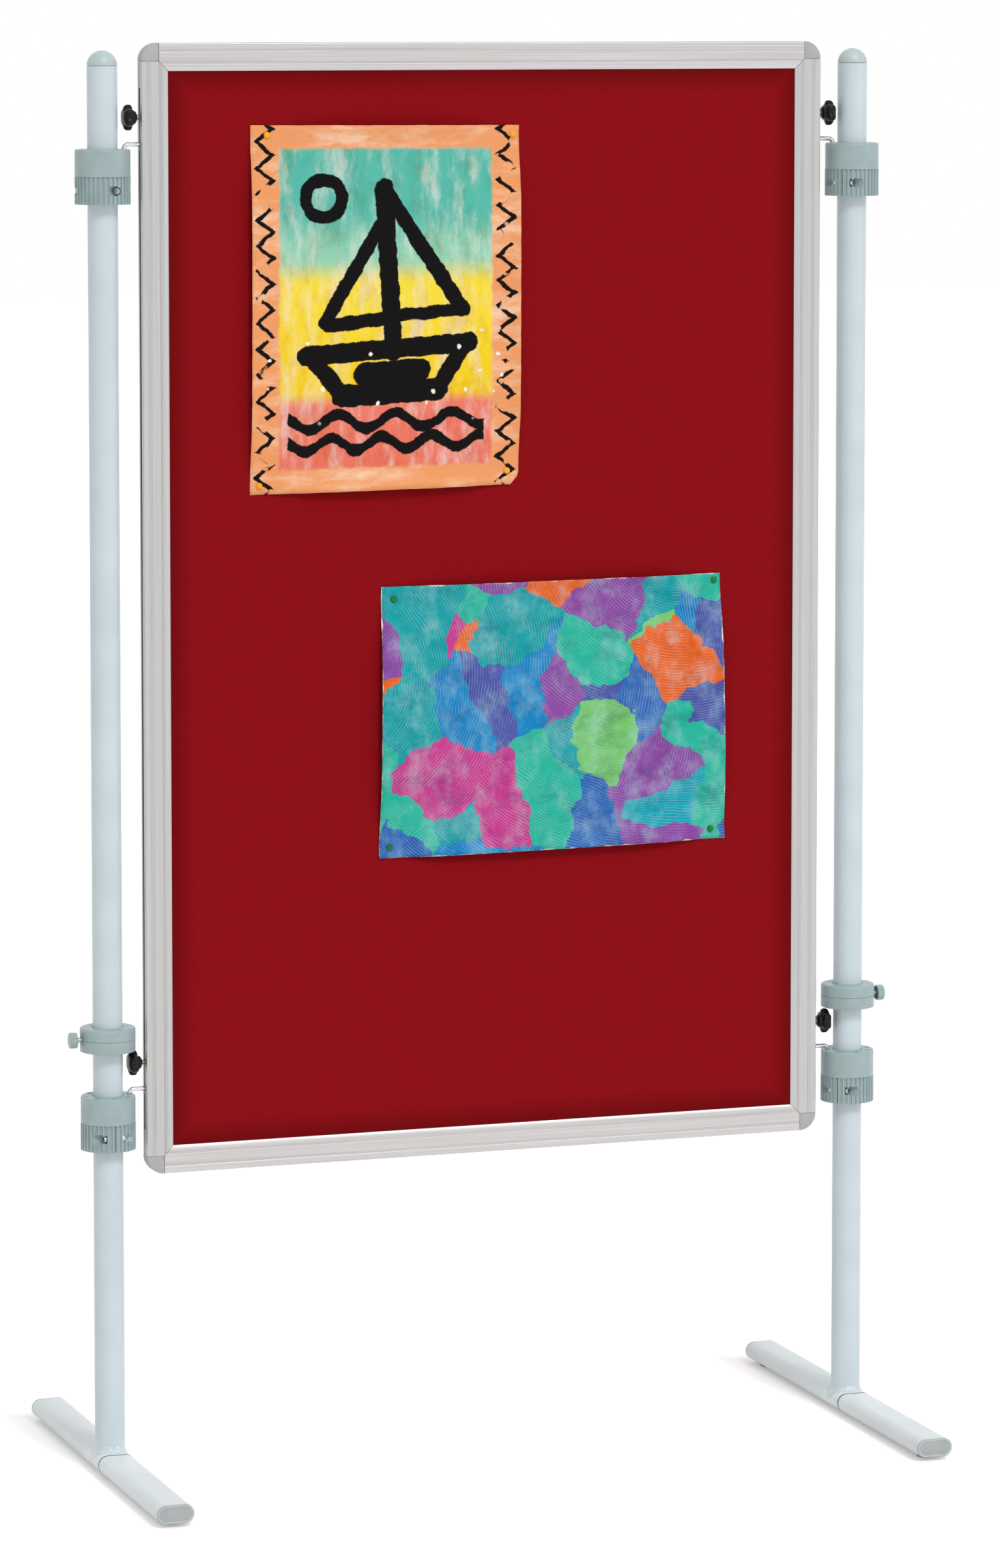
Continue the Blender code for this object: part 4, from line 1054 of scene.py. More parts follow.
def upper_shell():
    top = FIT / 2 + SHELL_HEIGHT
    arc = rounded_edge(RING_RADIUS, top, RING_ROUND, steps=8)
    rest = [
        (RING_RADIUS, FIT / 2 + MOULD_EASE),
        (RING_RADIUS - MOULD_EASE, FIT / 2),
        (BORE_RADIUS, FIT / 2),
        (BORE_RADIUS, top - RING_CHAMFER),
        (BORE_RADIUS + RING_CHAMFER, top),
    ]
    return combined(turned(arc + rest + arc[:1], steps=FINE_STEPS), stud_channel(), "DIFFERENCE")


def lower_shell():
    top, low = -FIT / 2, -FIT / 2 - SHELL_HEIGHT
    wall = [
        (RING_RADIUS - MOULD_EASE, top),
        (RING_RADIUS, top - MOULD_EASE),
        (RING_RADIUS, low + RING_FOOT_ROUND),
        (RING_RADIUS - MOULD_EASE, low + MOULD_EASE),
        (RING_RADIUS - RING_FOOT_ROUND, low),
        (BORE_RADIUS, low),
        (BORE_RADIUS, top),
    ]
    return combined(turned(wall + wall[:1], steps=FINE_STEPS), stud_channel(), "DIFFERENCE")


def ring_moves(side):
    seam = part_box(f"{side}_stop_ring_lower")[1].z + FIT / 2
    return turn(FACINGS[side], "Z"), shift(x=POSTS[side].x, z=seam)


for part, shell in (("upper", upper_shell()), ("lower", lower_shell())):
    for side in SIDES:
        node = f"{side}_stop_ring_{part}"
        shape = placed(shell, *ring_moves(side))
        make_piece(shape, f"{node}_shell", f"{side}_stop_ring", SAGE, [node])
    shell.free()
print("stop rings are", 2 * SHELL_HEIGHT * 1000, "mm high")

# %% [markdown]
# ## Knobs with flutes and lobes
#
# The thumbscrews have a fine knurl, and the star knobs six lobes. Both are a stack of rings, each with its
# own height, radius and depth of hollow. The rings are circles whose points are drawn in between the lobes.

# %% Lobed shapes and the thumbscrews
def lobed_ring(shape, steps, lobes, height, radius, hollow):
    verts, edges = edges_round(shape, steps, 1.0, shift(z=height))
    for vert in verts:
        angle = math.atan2(vert.co.y, vert.co.x)
        reach = radius - hollow * (1 - math.cos(lobes * angle)) / 2
        vert.co.x *= reach
        vert.co.y *= reach
    return edges


def lobed_shape(rings, steps, lobes):
    """rings is a list of (height, radius, hollow). Both ends are closed."""
    shape = bmesh.new()
    made = [lobed_ring(shape, steps, lobes, *ring) for ring in rings]
    loft(shape, made)
    cap_ring(shape, made[0])
    cap_ring(shape, made[-1])
    bmesh.ops.recalc_face_normals(shape, faces=shape.faces)
    return shape


THUMB_FLUTES = 33
THUMB_RADIUS = 0.01065
THUMB_BACK = 0.0055
THUMB_FACE = 0.016
THUMB_HUB = 0.005
FLUTE_DEPTH = 0.0006
OUTWARD = turn(-math.pi / 2, "Y")


def thumbscrew_shape():
    """Drawn along Z, outwards from the ring's side. It is hollow behind, round a hub."""
    radius, back, face = THUMB_RADIUS, THUMB_BACK, THUMB_FACE
    rings = [
        (back + THUMB_HUB, 0.0044, 0.0),
        (back + 0.0002, 0.0046, 0.0),
        (back + 0.0002, 0.0048, 0.0),
        (back + 0.0055, 0.0052, 0.0),
        (back + 0.006, 0.0084, 0.0),
        (back + 0.0003, 0.0087, 0.0),
        (back, radius - 0.0014, 0.0),
        (back + 0.0004, radius - 0.0004, FLUTE_DEPTH * 0.6),
        (back + 0.001, radius, FLUTE_DEPTH),
        (face - 0.0018, radius, FLUTE_DEPTH),
        (face - 0.0009, radius - 0.0003, FLUTE_DEPTH * 0.5),
        (face - 0.0004, radius - 0.0012, 0.0),
        (face - 0.0001, radius - 0.003, 0.0),
        (face, radius - 0.006, 0.0),
    ]
    return lobed_shape(rings, THUMB_FLUTES * 4, THUMB_FLUTES)


def thumbscrew_stud():
    length = RING_RADIUS - BORE_RADIUS + THUMB_BACK + THUMB_HUB
    stud = bevel_sharp(rod(STUD_RADIUS, length, steps=ROD_STEPS), 0.0005, segments=1)
    return placed(stud, shift(z=-(RING_RADIUS - BORE_RADIUS)))


thumb, stud = thumbscrew_shape(), thumbscrew_stud()
for side in SIDES:
    body = f"{side}_thumbscrew_body"
    moves = (OUTWARD, shift(x=-RING_RADIUS), *ring_moves(side))
    shape = placed(thumb, *moves)
    make_piece(shape, f"{side}_thumbscrew_head", body, SAGE, [f"{side}_thumbscrew"])
    make_piece(placed(stud, *moves), f"{side}_thumbscrew_stud", body, ZINC)
thumb.free()
stud.free()
print("knurl pitch", round(2 * math.pi * THUMB_RADIUS / THUMB_FLUTES * 1000, 1), "mm")

# %% [markdown]
# ## The hooks
#
# A hook is a chromed rod that leaves a strip in the frame's slot, turns down and drops into a collar's
# hole. A circle is spun a quarter turn for the bend, and its ends are drawn out for the straight parts,
# just as a bending machine does it.

# %% Hook rods and strips
HOOK_ROD = 0.003
HOOK_BEND = 0.006
HOOK_LIFT = 0.006
HOOK_REACH = 0.025
KNOB_RISE = 0.035
HOOK_TO_FRAME = abs(POSTS["left"].x) - HOOK_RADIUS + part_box("frame_rail_left")[0].x
SLOT_LIP = 0.0018
STRIP_SIZE = (0.0025, 0.0134, 0.057)


def hook_rod():
    """Its origin is on the leg's axis at the height of the straight part, and the board is at +X."""
    shape = bmesh.new()
    place = shift(x=HOOK_BEND) @ turn(math.pi / 2, "Y")
    verts, edges = edges_round(shape, ROD_STEPS, HOOK_ROD, place)
    length = HOOK_TO_FRAME + SLOT_LIP + FIT + STRIP_SIZE[0] / 2 - HOOK_BEND
    edges_out(shape, edges, (length, 0.0, 0.0))
    bent = bmesh.ops.spin(
        shape,
        geom=verts + edges,
        cent=(HOOK_BEND, 0.0, -HOOK_BEND),
        axis=(0.0, -1.0, 0.0),
        angle=math.pi / 2,
        steps=14,
    )["geom_last"]
    last = [item for item in bent if isinstance(item, bmesh.types.BMEdge)]
    edges_out(shape, last, (0.0, 0.0, -(HOOK_LIFT + HOOK_REACH - HOOK_BEND)))
    bmesh.ops.remove_doubles(shape, verts=shape.verts, dist=MERGE)
    bmesh.ops.holes_fill(shape, edges=[edge for edge in shape.edges if edge.is_boundary])
    bmesh.ops.recalc_face_normals(shape, faces=shape.faces)
    return bevel_sharp(shape, 0.0006, segments=2)


def hook_strip():
    middle = HOOK_TO_FRAME + SLOT_LIP + FIT + STRIP_SIZE[0] / 2
    strip = block(STRIP_SIZE, (middle, 0.0, KNOB_RISE / 2))
    strip = bevel_sharp(strip, 0.0004, segments=2)
    hole = rod(STUD_RADIUS + FIT, 4 * OVERRUN, steps=ROD_STEPS)
    drill = lying(hole, middle - 2 * OVERRUN, 0.0, KNOB_RISE)
    hole.free()
    return combined(strip, drill, "DIFFERENCE")


def hook_moves(corner):
    level, side = corner.split("_")
    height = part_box(f"{corner}_collar")[1].z + HOOK_LIFT
    hinge = SIDES[side] * (abs(POSTS[side].x) - HOOK_RADIUS)
    return turn(FACINGS[side], "Z"), shift(x=hinge, z=height)


hook = combined(hook_strip(), hook_rod(), "UNION")
for corner in COLLAR_STEPS:
    side = corner.split("_")[1]
    shape = placed(hook, *hook_moves(corner))
    make_piece(shape, f"{corner}_hook", f"{side}_hooks", CHROME, [f"{corner}_hook_bracket"])
hook.free()
print("hooks reach", round(HOOK_TO_FRAME * 1000, 1), "mm to the frame")

# %% Star knobs
KNOB_RADIUS = 0.017
KNOB_LENGTH = 0.0188
KNOB_BACK = 0.0045
KNOB_HOLLOW = 0.0034
KNOB_STUD = 0.003
KNOB_STUD_REACH = 0.0067
KNOB_STUD_TAIL = 0.004
# From the hub to the face: shares of the length, the radius and the hollow
KNOB_SHARES = [
    (0.0, 0.33, 0.0),
    (0.02, 0.36, 0.0),
    (0.11, 0.50, 0.0),
    (0.2, 0.53, 0.05),
    (0.27, 0.56, 0.15),
    (0.31, 0.70, 0.4),
    (0.35, 0.87, 0.75),
    (0.40, 0.96, 0.95),
    (0.48, 0.995, 1.0),
    (0.6, 1.0, 1.0),
    (0.72, 0.985, 1.0),
    (0.8, 0.95, 0.95),
    (0.87, 0.88, 0.8),
    (0.92, 0.77, 0.58),
    (0.96, 0.62, 0.33),
    (0.985, 0.42, 0.12),
    (1.0, 0.2, 0.0),
]


def knob_grip():
    rings = []
    for along, across, hollow in KNOB_SHARES:
        rings.append((KNOB_BACK + along * KNOB_LENGTH, across * KNOB_RADIUS, hollow * KNOB_HOLLOW))
    return lobed_shape(rings, 96, 6)


def knob_stud():
    stud = rod(KNOB_STUD, KNOB_STUD_REACH + KNOB_BACK + KNOB_STUD_TAIL, steps=ROD_STEPS)
    return placed(bevel_sharp(stud, 0.0004, segments=1), shift(z=-KNOB_STUD_REACH))


grip, stud = knob_grip(), knob_stud()
for corner in COLLAR_STEPS:
    moves = (OUTWARD, shift(x=HOOK_TO_FRAME, z=KNOB_RISE), *hook_moves(corner))
    shape = placed(grip, *moves)
    body = f"{corner}_knob"
    make_piece(shape, f"{corner}_knob_grip", body, BLACK, [f"{corner}_star_knob"])
    make_piece(placed(stud, *moves), f"{corner}_knob_stud", body, BRASS)
grip.free()
stud.free()
print("star knobs are", KNOB_RADIUS * 2000, "mm across")

# %% [markdown]
# ## The frame
#
# All four rails are one aluminium extrusion: a slot for the hooks on the outer side, two shallow flutes in
# each face, a bevel towards the felt and a pocket that holds the panel. An extrusion is just what extrude
# does: half of the section is drawn, mirrored, filled and drawn out. The ends are then sawn by planes:
# square where the corner caps go, and mitred from there to the felt.

# %% The rail's section
FRAME_FACE = 0.037
FRAME_DEPTH = 0.020
EDGE_ROUND = 0.0018
SLOT_OPENING = 0.008
SLOT_WIDTH = 0.014
SLOT_DEPTH = 0.007
FLUTE_DEPTH_FRAME = 0.0007
FLUTE_SHARES = ((0.22, 0.35), (0.66, 0.78))
FLUTE_BEAD = 0.0003
BEVEL_SHARE = 0.84
POCKET_HALF = 0.0063
LIP_EDGE = 0.0011
POCKET_DEPTH = 0.010
RAIL_WALL = 0.002
CORNER_SIDE = 0.024


def flute(first, last, face):
    """A shallow flute with a fine bead along its middle, from one share of the face to another."""
    start, end = first * FRAME_FACE, last * FRAME_FACE
    floor = face - FLUTE_DEPTH_FRAME
    middle = (start + end) / 2
    return [
        (start, face),
        (start + 0.0004, floor + 0.0002),
        (start + 0.0008, floor),
        (middle - 0.0005, floor),
        (middle - 0.0002, floor + FLUTE_BEAD),
        (middle + 0.0002, floor + FLUTE_BEAD),
        (middle + 0.0005, floor),
        (end - 0.0008, floor),
        (end - 0.0004, floor + 0.0002),
        (end, face),
    ]


def half_section():
    """X runs inwards from the outer side and Y from the middle plane to the face."""
    face = FRAME_DEPTH / 2
    points = [
        (SLOT_DEPTH, 0.0),
        (SLOT_DEPTH, SLOT_WIDTH / 2),
        (SLOT_LIP, SLOT_WIDTH / 2),
        (SLOT_LIP, SLOT_OPENING / 2 + 0.0002),
        (SLOT_LIP - 0.0002, SLOT_OPENING / 2),
        (0.0003, SLOT_OPENING / 2),
        (0.0, SLOT_OPENING / 2 + 0.0003),
    ]
    for step in range(6):
        angle = math.pi / 2 * step / 5
        points.append((EDGE_ROUND * (1 - math.cos(angle)), face - EDGE_ROUND * (1 - math.sin(angle))))
    for first, last in FLUTE_SHARES:
        points += flute(first, last, face)
    points += [
        (BEVEL_SHARE * FRAME_FACE, face),
        (FRAME_FACE - 0.0003, POCKET_HALF + LIP_EDGE + 0.0001),
        (FRAME_FACE, POCKET_HALF + LIP_EDGE - 0.0002),
        (FRAME_FACE, POCKET_HALF),
        (FRAME_FACE - POCKET_DEPTH, POCKET_HALF),
        (FRAME_FACE - POCKET_DEPTH, 0.0),
    ]
    return points


def chain(shape, points, closed):
    """Edges from each point to the next."""
    verts = [shape.verts.new((x, y, 0.0)) for x, y in points]
    pairs = list(zip(verts, verts[1:]))
    if closed:
        pairs.append((verts[-1], verts[0]))
    return verts, [shape.edges.new(pair) for pair in pairs]


def rail_shape(length):
    """A rail along Z about its middle, with X inwards from the board's outer side."""
    shape = bmesh.new()
    verts, edges = chain(shape, half_section(), closed=False)
    bmesh.ops.mirror(shape, geom=verts + edges, axis="Y", merge_dist=MERGE)
    bmesh.ops.remove_doubles(shape, verts=shape.verts, dist=MERGE)
    near, far = SLOT_DEPTH + RAIL_WALL, FRAME_FACE - POCKET_DEPTH - RAIL_WALL
    half = FRAME_DEPTH / 2 - RAIL_WALL
    chain(shape, [(near, -half), (far, -half), (far, half), (near, half)], closed=True)
    bmesh.ops.triangle_fill(shape, use_beauty=True, use_dissolve=False, edges=shape.edges[:])
    faces_out(shape, (0.0, 0.0, length))
    bmesh.ops.translate(shape, vec=(0.0, 0.0, -length / 2), verts=shape.verts)
    bmesh.ops.recalc_face_normals(shape, faces=shape.faces)
    for end in (-1, 1):
        cut_away(shape, (0.0, 0.0, end * (length / 2 - CORNER_SIDE - FIT)), (0.0, 0.0, end))
        cut_away(shape, (0.0, 0.0, end * (length / 2 - FIT)), (1.0, 0.0, end))
    return shape


print("the half section has", len(half_section()), "points")

# %% The four rails
BOARD_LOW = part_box("frame_rail_bottom")[0]
BOARD_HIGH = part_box("frame_rail_top")[1]
HALF_WIDTH = -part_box("frame_rail_left")[0].x
BOARD_MIDDLE = (BOARD_LOW.z + BOARD_HIGH.z) / 2
HALF_HEIGHT = (BOARD_HIGH.z - BOARD_LOW.z) / 2

side_rail, cross_rail = rail_shape(2 * HALF_HEIGHT), rail_shape(2 * HALF_WIDTH)
RAIL_MOVES = {
    "left": (side_rail, UPRIGHT_METAL, 0.0, "Z", (-HALF_WIDTH, 0.0, BOARD_MIDDLE)),
    "right": (side_rail, UPRIGHT_METAL, math.pi, "Z", (HALF_WIDTH, 0.0, BOARD_MIDDLE)),
    "top": (cross_rail, CROSS_METAL, math.pi / 2, "Y", (0.0, 0.0, BOARD_MIDDLE + HALF_HEIGHT)),
    "bottom": (cross_rail, CROSS_METAL, -math.pi / 2, "Y", (0.0, 0.0, BOARD_MIDDLE - HALF_HEIGHT)),
}
for name, (rail, metal, angle, axis, place) in RAIL_MOVES.items():
    shape = placed(rail, turn(angle, axis), Matrix.Translation(place))
    node = f"frame_rail_{name}"
    make_piece(shape, f"{node}_extrusion", "board", metal, [node], smooth_below=25)
side_rail.free()
cross_rail.free()
print("board", round(2 * HALF_WIDTH, 3), "by", round(2 * HALF_HEIGHT, 3), "m")

# %% [markdown]
# ## Corner caps
#
# Each cap closes the square that the rails leave, and two legs on it go into their slots. From the front
# it is a quarter of a disc. So a disc is made, two planes cut the quarter out, and the quarter is extruded
# to the frame's depth and bevelled. The legs are blocks to the slot's section.

# %% Corner caps
CORNER_BEVEL = 0.0013
CORNER_LEG = 0.035
LEG_ROOT = 0.002
NECK_OVERLAP = 0.001


def quarter_disc():
    shape = bmesh.new()
    side = CORNER_SIDE
    middle = Matrix.Translation((side, FRAME_DEPTH / 2, side)) @ turn(math.pi / 2, "X")
    bmesh.ops.create_circle(shape, cap_ends=True, segments=128, radius=side, matrix=middle)
    for normal in ((1.0, 0.0, 0.0), (0.0, 0.0, 1.0)):
        sliced(shape, (side, 0.0, side), normal)
    faces_out(shape, (0.0, -FRAME_DEPTH, 0.0))
    bmesh.ops.recalc_face_normals(shape, faces=shape.faces)
    return bevel_sharp(shape, CORNER_BEVEL, segments=3)


def corner_leg():
    """The upright leg. Its section is the slot's, less the fit."""
    low, high = CORNER_SIDE - LEG_ROOT, CORNER_SIDE + CORNER_LEG
    middle, length = (low + high) / 2, high - low
    lip_end = SLOT_LIP + FIT
    neck_size = (lip_end + NECK_OVERLAP - FIT, SLOT_OPENING - 2 * FIT, length)
    neck = block(neck_size, (FIT + neck_size[0] / 2, 0.0, middle))
    body_size = (SLOT_DEPTH - FIT - lip_end, SLOT_WIDTH - 2 * FIT, length)
    body = block(body_size, (lip_end + body_size[0] / 2, 0.0, middle))
    return bevel_sharp(combined(neck, body, "UNION"), 0.0004, segments=1)


def corner_shape():
    """X and Z run inwards from the board's outer corner. A mirror in X = Z gives the second leg."""
    upright = corner_leg()
    swap = Matrix(((0, 0, 1, 0), (0, 1, 0, 0), (1, 0, 0, 0), (0, 0, 0, 1)))
    lying_leg = placed(upright, swap)
    bmesh.ops.recalc_face_normals(lying_leg, faces=lying_leg.faces)
    return combined(combined(quarter_disc(), upright, "UNION"), lying_leg, "UNION")


corner = corner_shape()
CORNER_TURNS = {"bottom_left": 0, "top_left": 1, "top_right": 2, "bottom_right": 3}
for name, quarter in CORNER_TURNS.items():
    across = HALF_WIDTH if "right" in name else -HALF_WIDTH
    level = HALF_HEIGHT if "top" in name else -HALF_HEIGHT
    moves = (turn(quarter * math.pi / 2, "Y"), shift(x=across, z=BOARD_MIDDLE + level))
    node = f"corner_cap_{name}"
    shape = placed(corner, *moves)
    make_piece(shape, f"{node}_moulding", "board", GREY, [node])
corner.free()
print("corner caps are", CORNER_SIDE * 1000, "mm across")

# %% [markdown]
# ## The felt
#
# Felt is cloth, so it is drawn as a thin sheet, with the size that it was cut to. It is stretched flat over
# the core and its edges are held in the rails' pockets. A hair of unevenness in the mesh keeps the light
# on it from being dead flat.

# %% Felts
FELT_CELLS = (48, 72)
FELT_UNEVENNESS = 0.00012
FELT_WAVES = 9.0


def felt_shape(node):
    low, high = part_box(node)
    width, thickness, height = high - low
    outward = -1 if node == "felt_front" else 1
    inner_y = high.y if outward < 0 else low.y
    middle = (low + high) / 2
    shape = bmesh.new()
    place = Matrix.Translation((middle.x, inner_y, middle.z)) @ turn(math.pi / 2, "X")
    place = place @ Matrix.Diagonal((width / 2, height / 2, 1.0, 1.0))
    bmesh.ops.create_grid(shape, x_segments=FELT_CELLS[0], y_segments=FELT_CELLS[1], size=1.0, matrix=place)
    for vert in faces_out(shape, (0.0, 0.0, 0.0)):
        wave = noise.noise(vert.co * FELT_WAVES) * FELT_UNEVENNESS
        vert.co.y += outward * (thickness - FELT_UNEVENNESS + wave)
    return shape, (width, height)


for node in ("felt_front", "felt_back"):
    shape, cut = felt_shape(node)
    felt = make_piece(shape, f"{node}_cloth", "board", FELT, [node])
    print(node, "cut to", [round(side, 4) for side in cut], "m")

# %% [markdown]
# ## Painted papers
#
# Two sheets of paper hang on the felt, each with a bright painting. The paintings here are made up for this
# board: a warm one of a boat, a sun and waves, brushed in black over washes, and a cool patchwork of paint
# with combed lines. They could be image files, but nodes keep them sharp at any size. Each works in the
# sheet's own UV map, so the paint stays on the paper as it curls. Poster paint soaks into paper unevenly,
# so every colour is mottled, and its edges wander by a few millimetres.

# %% Paint on paper: mixes and places
PAPER_WHITE = "efece6"


def blended(material, share, under, over, blend="MIX"):
    """over laid on under where share is 1. Each colour is a hex value or another node's output."""
    node = add_node(material, "Mix", settings={"data_type": "RGBA", "blend_type": blend})
    join_nodes(material, share, node.inputs["Factor"])
    for index, colour in ((6, under), (7, over)):
        if isinstance(colour, str):
            node.inputs[index].default_value = linear(colour)
        else:
            join_nodes(material, colour, node.inputs[index])
    return node.outputs[2]


def sheet_places(material, size, wander, reach):
    """Places on the sheet in metres from its middle: true ones, and ones that wander, for soft edges."""
    uv = add_node(material, "TexCoord").outputs["UV"]
    values = {"Location": (-size[0] / 2, -size[1] / 2, 0.0), "Scale": (*size, 1.0)}
    real = add_node(material, "Mapping", values=values, links={"Vector": uv}).outputs["Vector"]
    values = {"Scale": 1 / reach, "Detail": 4.0, "Roughness": 0.6}
    shake = add_node(material, "TexNoise", values=values, links={"Vector": real}).outputs["Color"]
    half = vector_sums(material, "SUBTRACT", shake, (0.5, 0.5, 0.5))
    return real, vector_sums(material, "MULTIPLY_ADD", half, (wander, wander, 0.0), real)


def shaded_share(material, value, low, high, top=1.0):
    """0 at low, rising to top at high, softly at both ends."""
    node = add_node(material, "MapRange", settings={"interpolation_type": "SMOOTHSTEP"})
    node.inputs["From Min"].default_value = low
    node.inputs["From Max"].default_value = high
    node.inputs["To Max"].default_value = top
    join_nodes(material, value, node.inputs["Value"])
    return node.outputs["Result"]


def stroke(material, distance, half_width, edge=0.0008):
    """1 within half a width of a line, falling to 0 over a narrow edge."""
    return shaded_share(material, distance, half_width + edge, half_width - edge)


print("paper white in linear light:", [round(value, 3) for value in linear(PAPER_WHITE)])

# %% Paint on paper: washes, brushed lines and the dry surface
def paint_ramp(material, value, stops, interpolation="EASE"):
    """Colours along a value. stops is a list of (place, hex)."""
    ramp = add_node(material, "ValToRGB", links={"Fac": value})
    ramp.color_ramp.interpolation = interpolation
    elements = ramp.color_ramp.elements
    while len(elements) < len(stops):
        elements.new(1.0)
    for element, (place, colour) in zip(elements, stops):
        element.position = place
        element.color = linear(colour)
    return ramp.outputs["Color"]


def washes(material, place, cells, strength, colour, over=PAPER_WHITE, blend="MIX"):
    """Watery streaks over a colour. cells is how many streaks go to a metre, each way."""
    pulled = add_node(material, "Mapping", values={"Scale": (*cells, 1.0)}, links={"Vector": place})
    values = {"Scale": 1.0, "Detail": 7.0, "Roughness": 0.68}
    links = {"Vector": pulled.outputs["Vector"]}
    streaks = add_node(material, "TexNoise", values=values, links=links).outputs["Fac"]
    return blended(material, shaded_share(material, streaks, 0.44, 0.72, strength), colour, over, blend)


def brushed_line(material, place, start, end, half_width):
    """A brush stroke from one point to another, with round ends."""
    way = Vector((*end, 0.0)) - Vector((*start, 0.0))
    from_start = vector_sums(material, "SUBTRACT", place, (*start, 0.0))
    share = way / way.length_squared
    along = vector_sums(material, "DOT_PRODUCT", from_start, share, result="Value")
    held = sums(material, "MINIMUM", sums(material, "MAXIMUM", along, 0.0), 1.0)
    aside = vector_sums(material, "MULTIPLY_ADD", held, -way, from_start)
    return stroke(material, vector_sums(material, "LENGTH", aside, result="Value"), half_width)


def finish_paint(material, shader, colour, place):
    """Dry poster paint is matt, with the paper's fine tooth under it."""
    join_nodes(material, colour, shader.inputs["Base Color"])
    grained_surface(material, shader, place, grain=0.0012, height=0.00006, rough=(0.6, 0.78))


print("a wash has streaks of a few centimetres, and a brushed line is 16 to 32 mm wide")

# %% The warm painting: a boat, a sun and waves in a peach border
WARM_SIZE = (0.377, 0.486)
# Where each stroke starts and ends and its half width, in metres from the sheet's middle
BOAT_STROKES = [
    ((-0.112, -0.062), (0.116, -0.048), 0.0130),
    ((-0.104, -0.064), (-0.060, -0.118), 0.0115),
    ((-0.062, -0.116), (0.072, -0.110), 0.0150),
    ((0.070, -0.110), (0.108, -0.054), 0.0110),
    ((-0.030, -0.088), (0.046, -0.084), 0.0160),
    ((0.010, -0.058), (-0.004, 0.160), 0.0130),
    ((-0.002, 0.156), (0.108, -0.004), 0.0105),
    ((0.016, -0.010), (0.106, -0.004), 0.0085),
    ((-0.008, 0.112), (-0.086, -0.018), 0.0095),
    ((-0.082, -0.022), (-0.004, -0.014), 0.0095),
]
SUN_PLACE, SUN_RADIUS, SUN_STROKE = (-0.088, 0.146), 0.025, 0.0085
# Height, swing, length and phase of each wave
WAVES = [(-0.150, 0.0095, 0.080, 0.6), (-0.180, 0.0085, 0.071, 2.2)]
WAVE_STROKE = 0.0078
WAVE_REACH = 0.130
ZIGZAG_ACROSS, ZIGZAG_PITCH, ZIGZAG_SWING, ZIGZAG_STROKE = 0.169, 0.034, 0.022, 0.0044
BRUSH_LIFTS = 0.026


def ring_stroke(material, place, middle, radius, half_width):
    from_middle = vector_sums(material, "DISTANCE", place, (*middle, 0.0), result="Value")
    off = sums(material, "ABSOLUTE", sums(material, "SUBTRACT", from_middle, radius))
    return stroke(material, off, half_width)


def wave_stroke(material, x, y, height, swing, length, phase):
    turns = sums(material, "MULTIPLY_ADD", x, 2 * math.pi / length, phase)
    line = sums(material, "MULTIPLY_ADD", sums(material, "SINE", turns), swing, height)
    off = sums(material, "ABSOLUTE", sums(material, "SUBTRACT", y, line))
    inside = sums(material, "SUBTRACT", sums(material, "ABSOLUTE", x), WAVE_REACH)
    return stroke(material, sums(material, "MAXIMUM", off, inside), WAVE_STROKE)


def zigzag_stroke(material, place, x, y):
    """A zigzag down each side border, in short strokes, because the brush leaves the paper now and then."""
    side = sums(material, "SUBTRACT", sums(material, "ABSOLUTE", x), ZIGZAG_ACROSS)
    swung = sums(material, "PINGPONG", y, ZIGZAG_PITCH / 2)
    centred = sums(material, "SUBTRACT", swung, ZIGZAG_PITCH / 4)
    line = sums(material, "MULTIPLY", centred, ZIGZAG_SWING / (ZIGZAG_PITCH / 2))
    off = sums(material, "ABSOLUTE", sums(material, "SUBTRACT", side, line))
    links = {"Vector": place}
    lifted = add_node(material, "TexNoise", values={"Scale": 1 / BRUSH_LIFTS, "Detail": 1.0}, links=links)
    brush_down = shaded_share(material, lifted.outputs["Fac"], 0.40, 0.44)
    return sums(material, "MULTIPLY", stroke(material, off, ZIGZAG_STROKE), brush_down)


def warm_ink(material, place, x, y):
    """Where the black brush went."""
    inks = [brushed_line(material, place, *line) for line in BOAT_STROKES]
    inks.append(ring_stroke(material, place, SUN_PLACE, SUN_RADIUS, SUN_STROKE))
    inks += [wave_stroke(material, x, y, *wave) for wave in WAVES]
    inks.append(zigzag_stroke(material, place, x, y))
    ink = inks[0]
    for more in inks[1:]:
        ink = sums(material, "MAXIMUM", ink, more)
    return ink


print("the boat has", len(BOAT_STROKES), "strokes")

# %% The warm painting: washes, ink and dots
INNER_HALVES = (0.149, 0.212)
SKY_PAINTS = [
    (0.05, "e8745e"),
    (0.20, "ea7a66"),
    (0.25, "f4cf1e"),
    (0.57, "f6dc3c"),
    (0.66, "8ecfb0"),
    (0.80, "56b9a8"),
]
SKY_SHARE = 2.3
DOT_PITCH = 0.024
DOTS_BELOW = 0.09
DOTS_REACH = 0.06


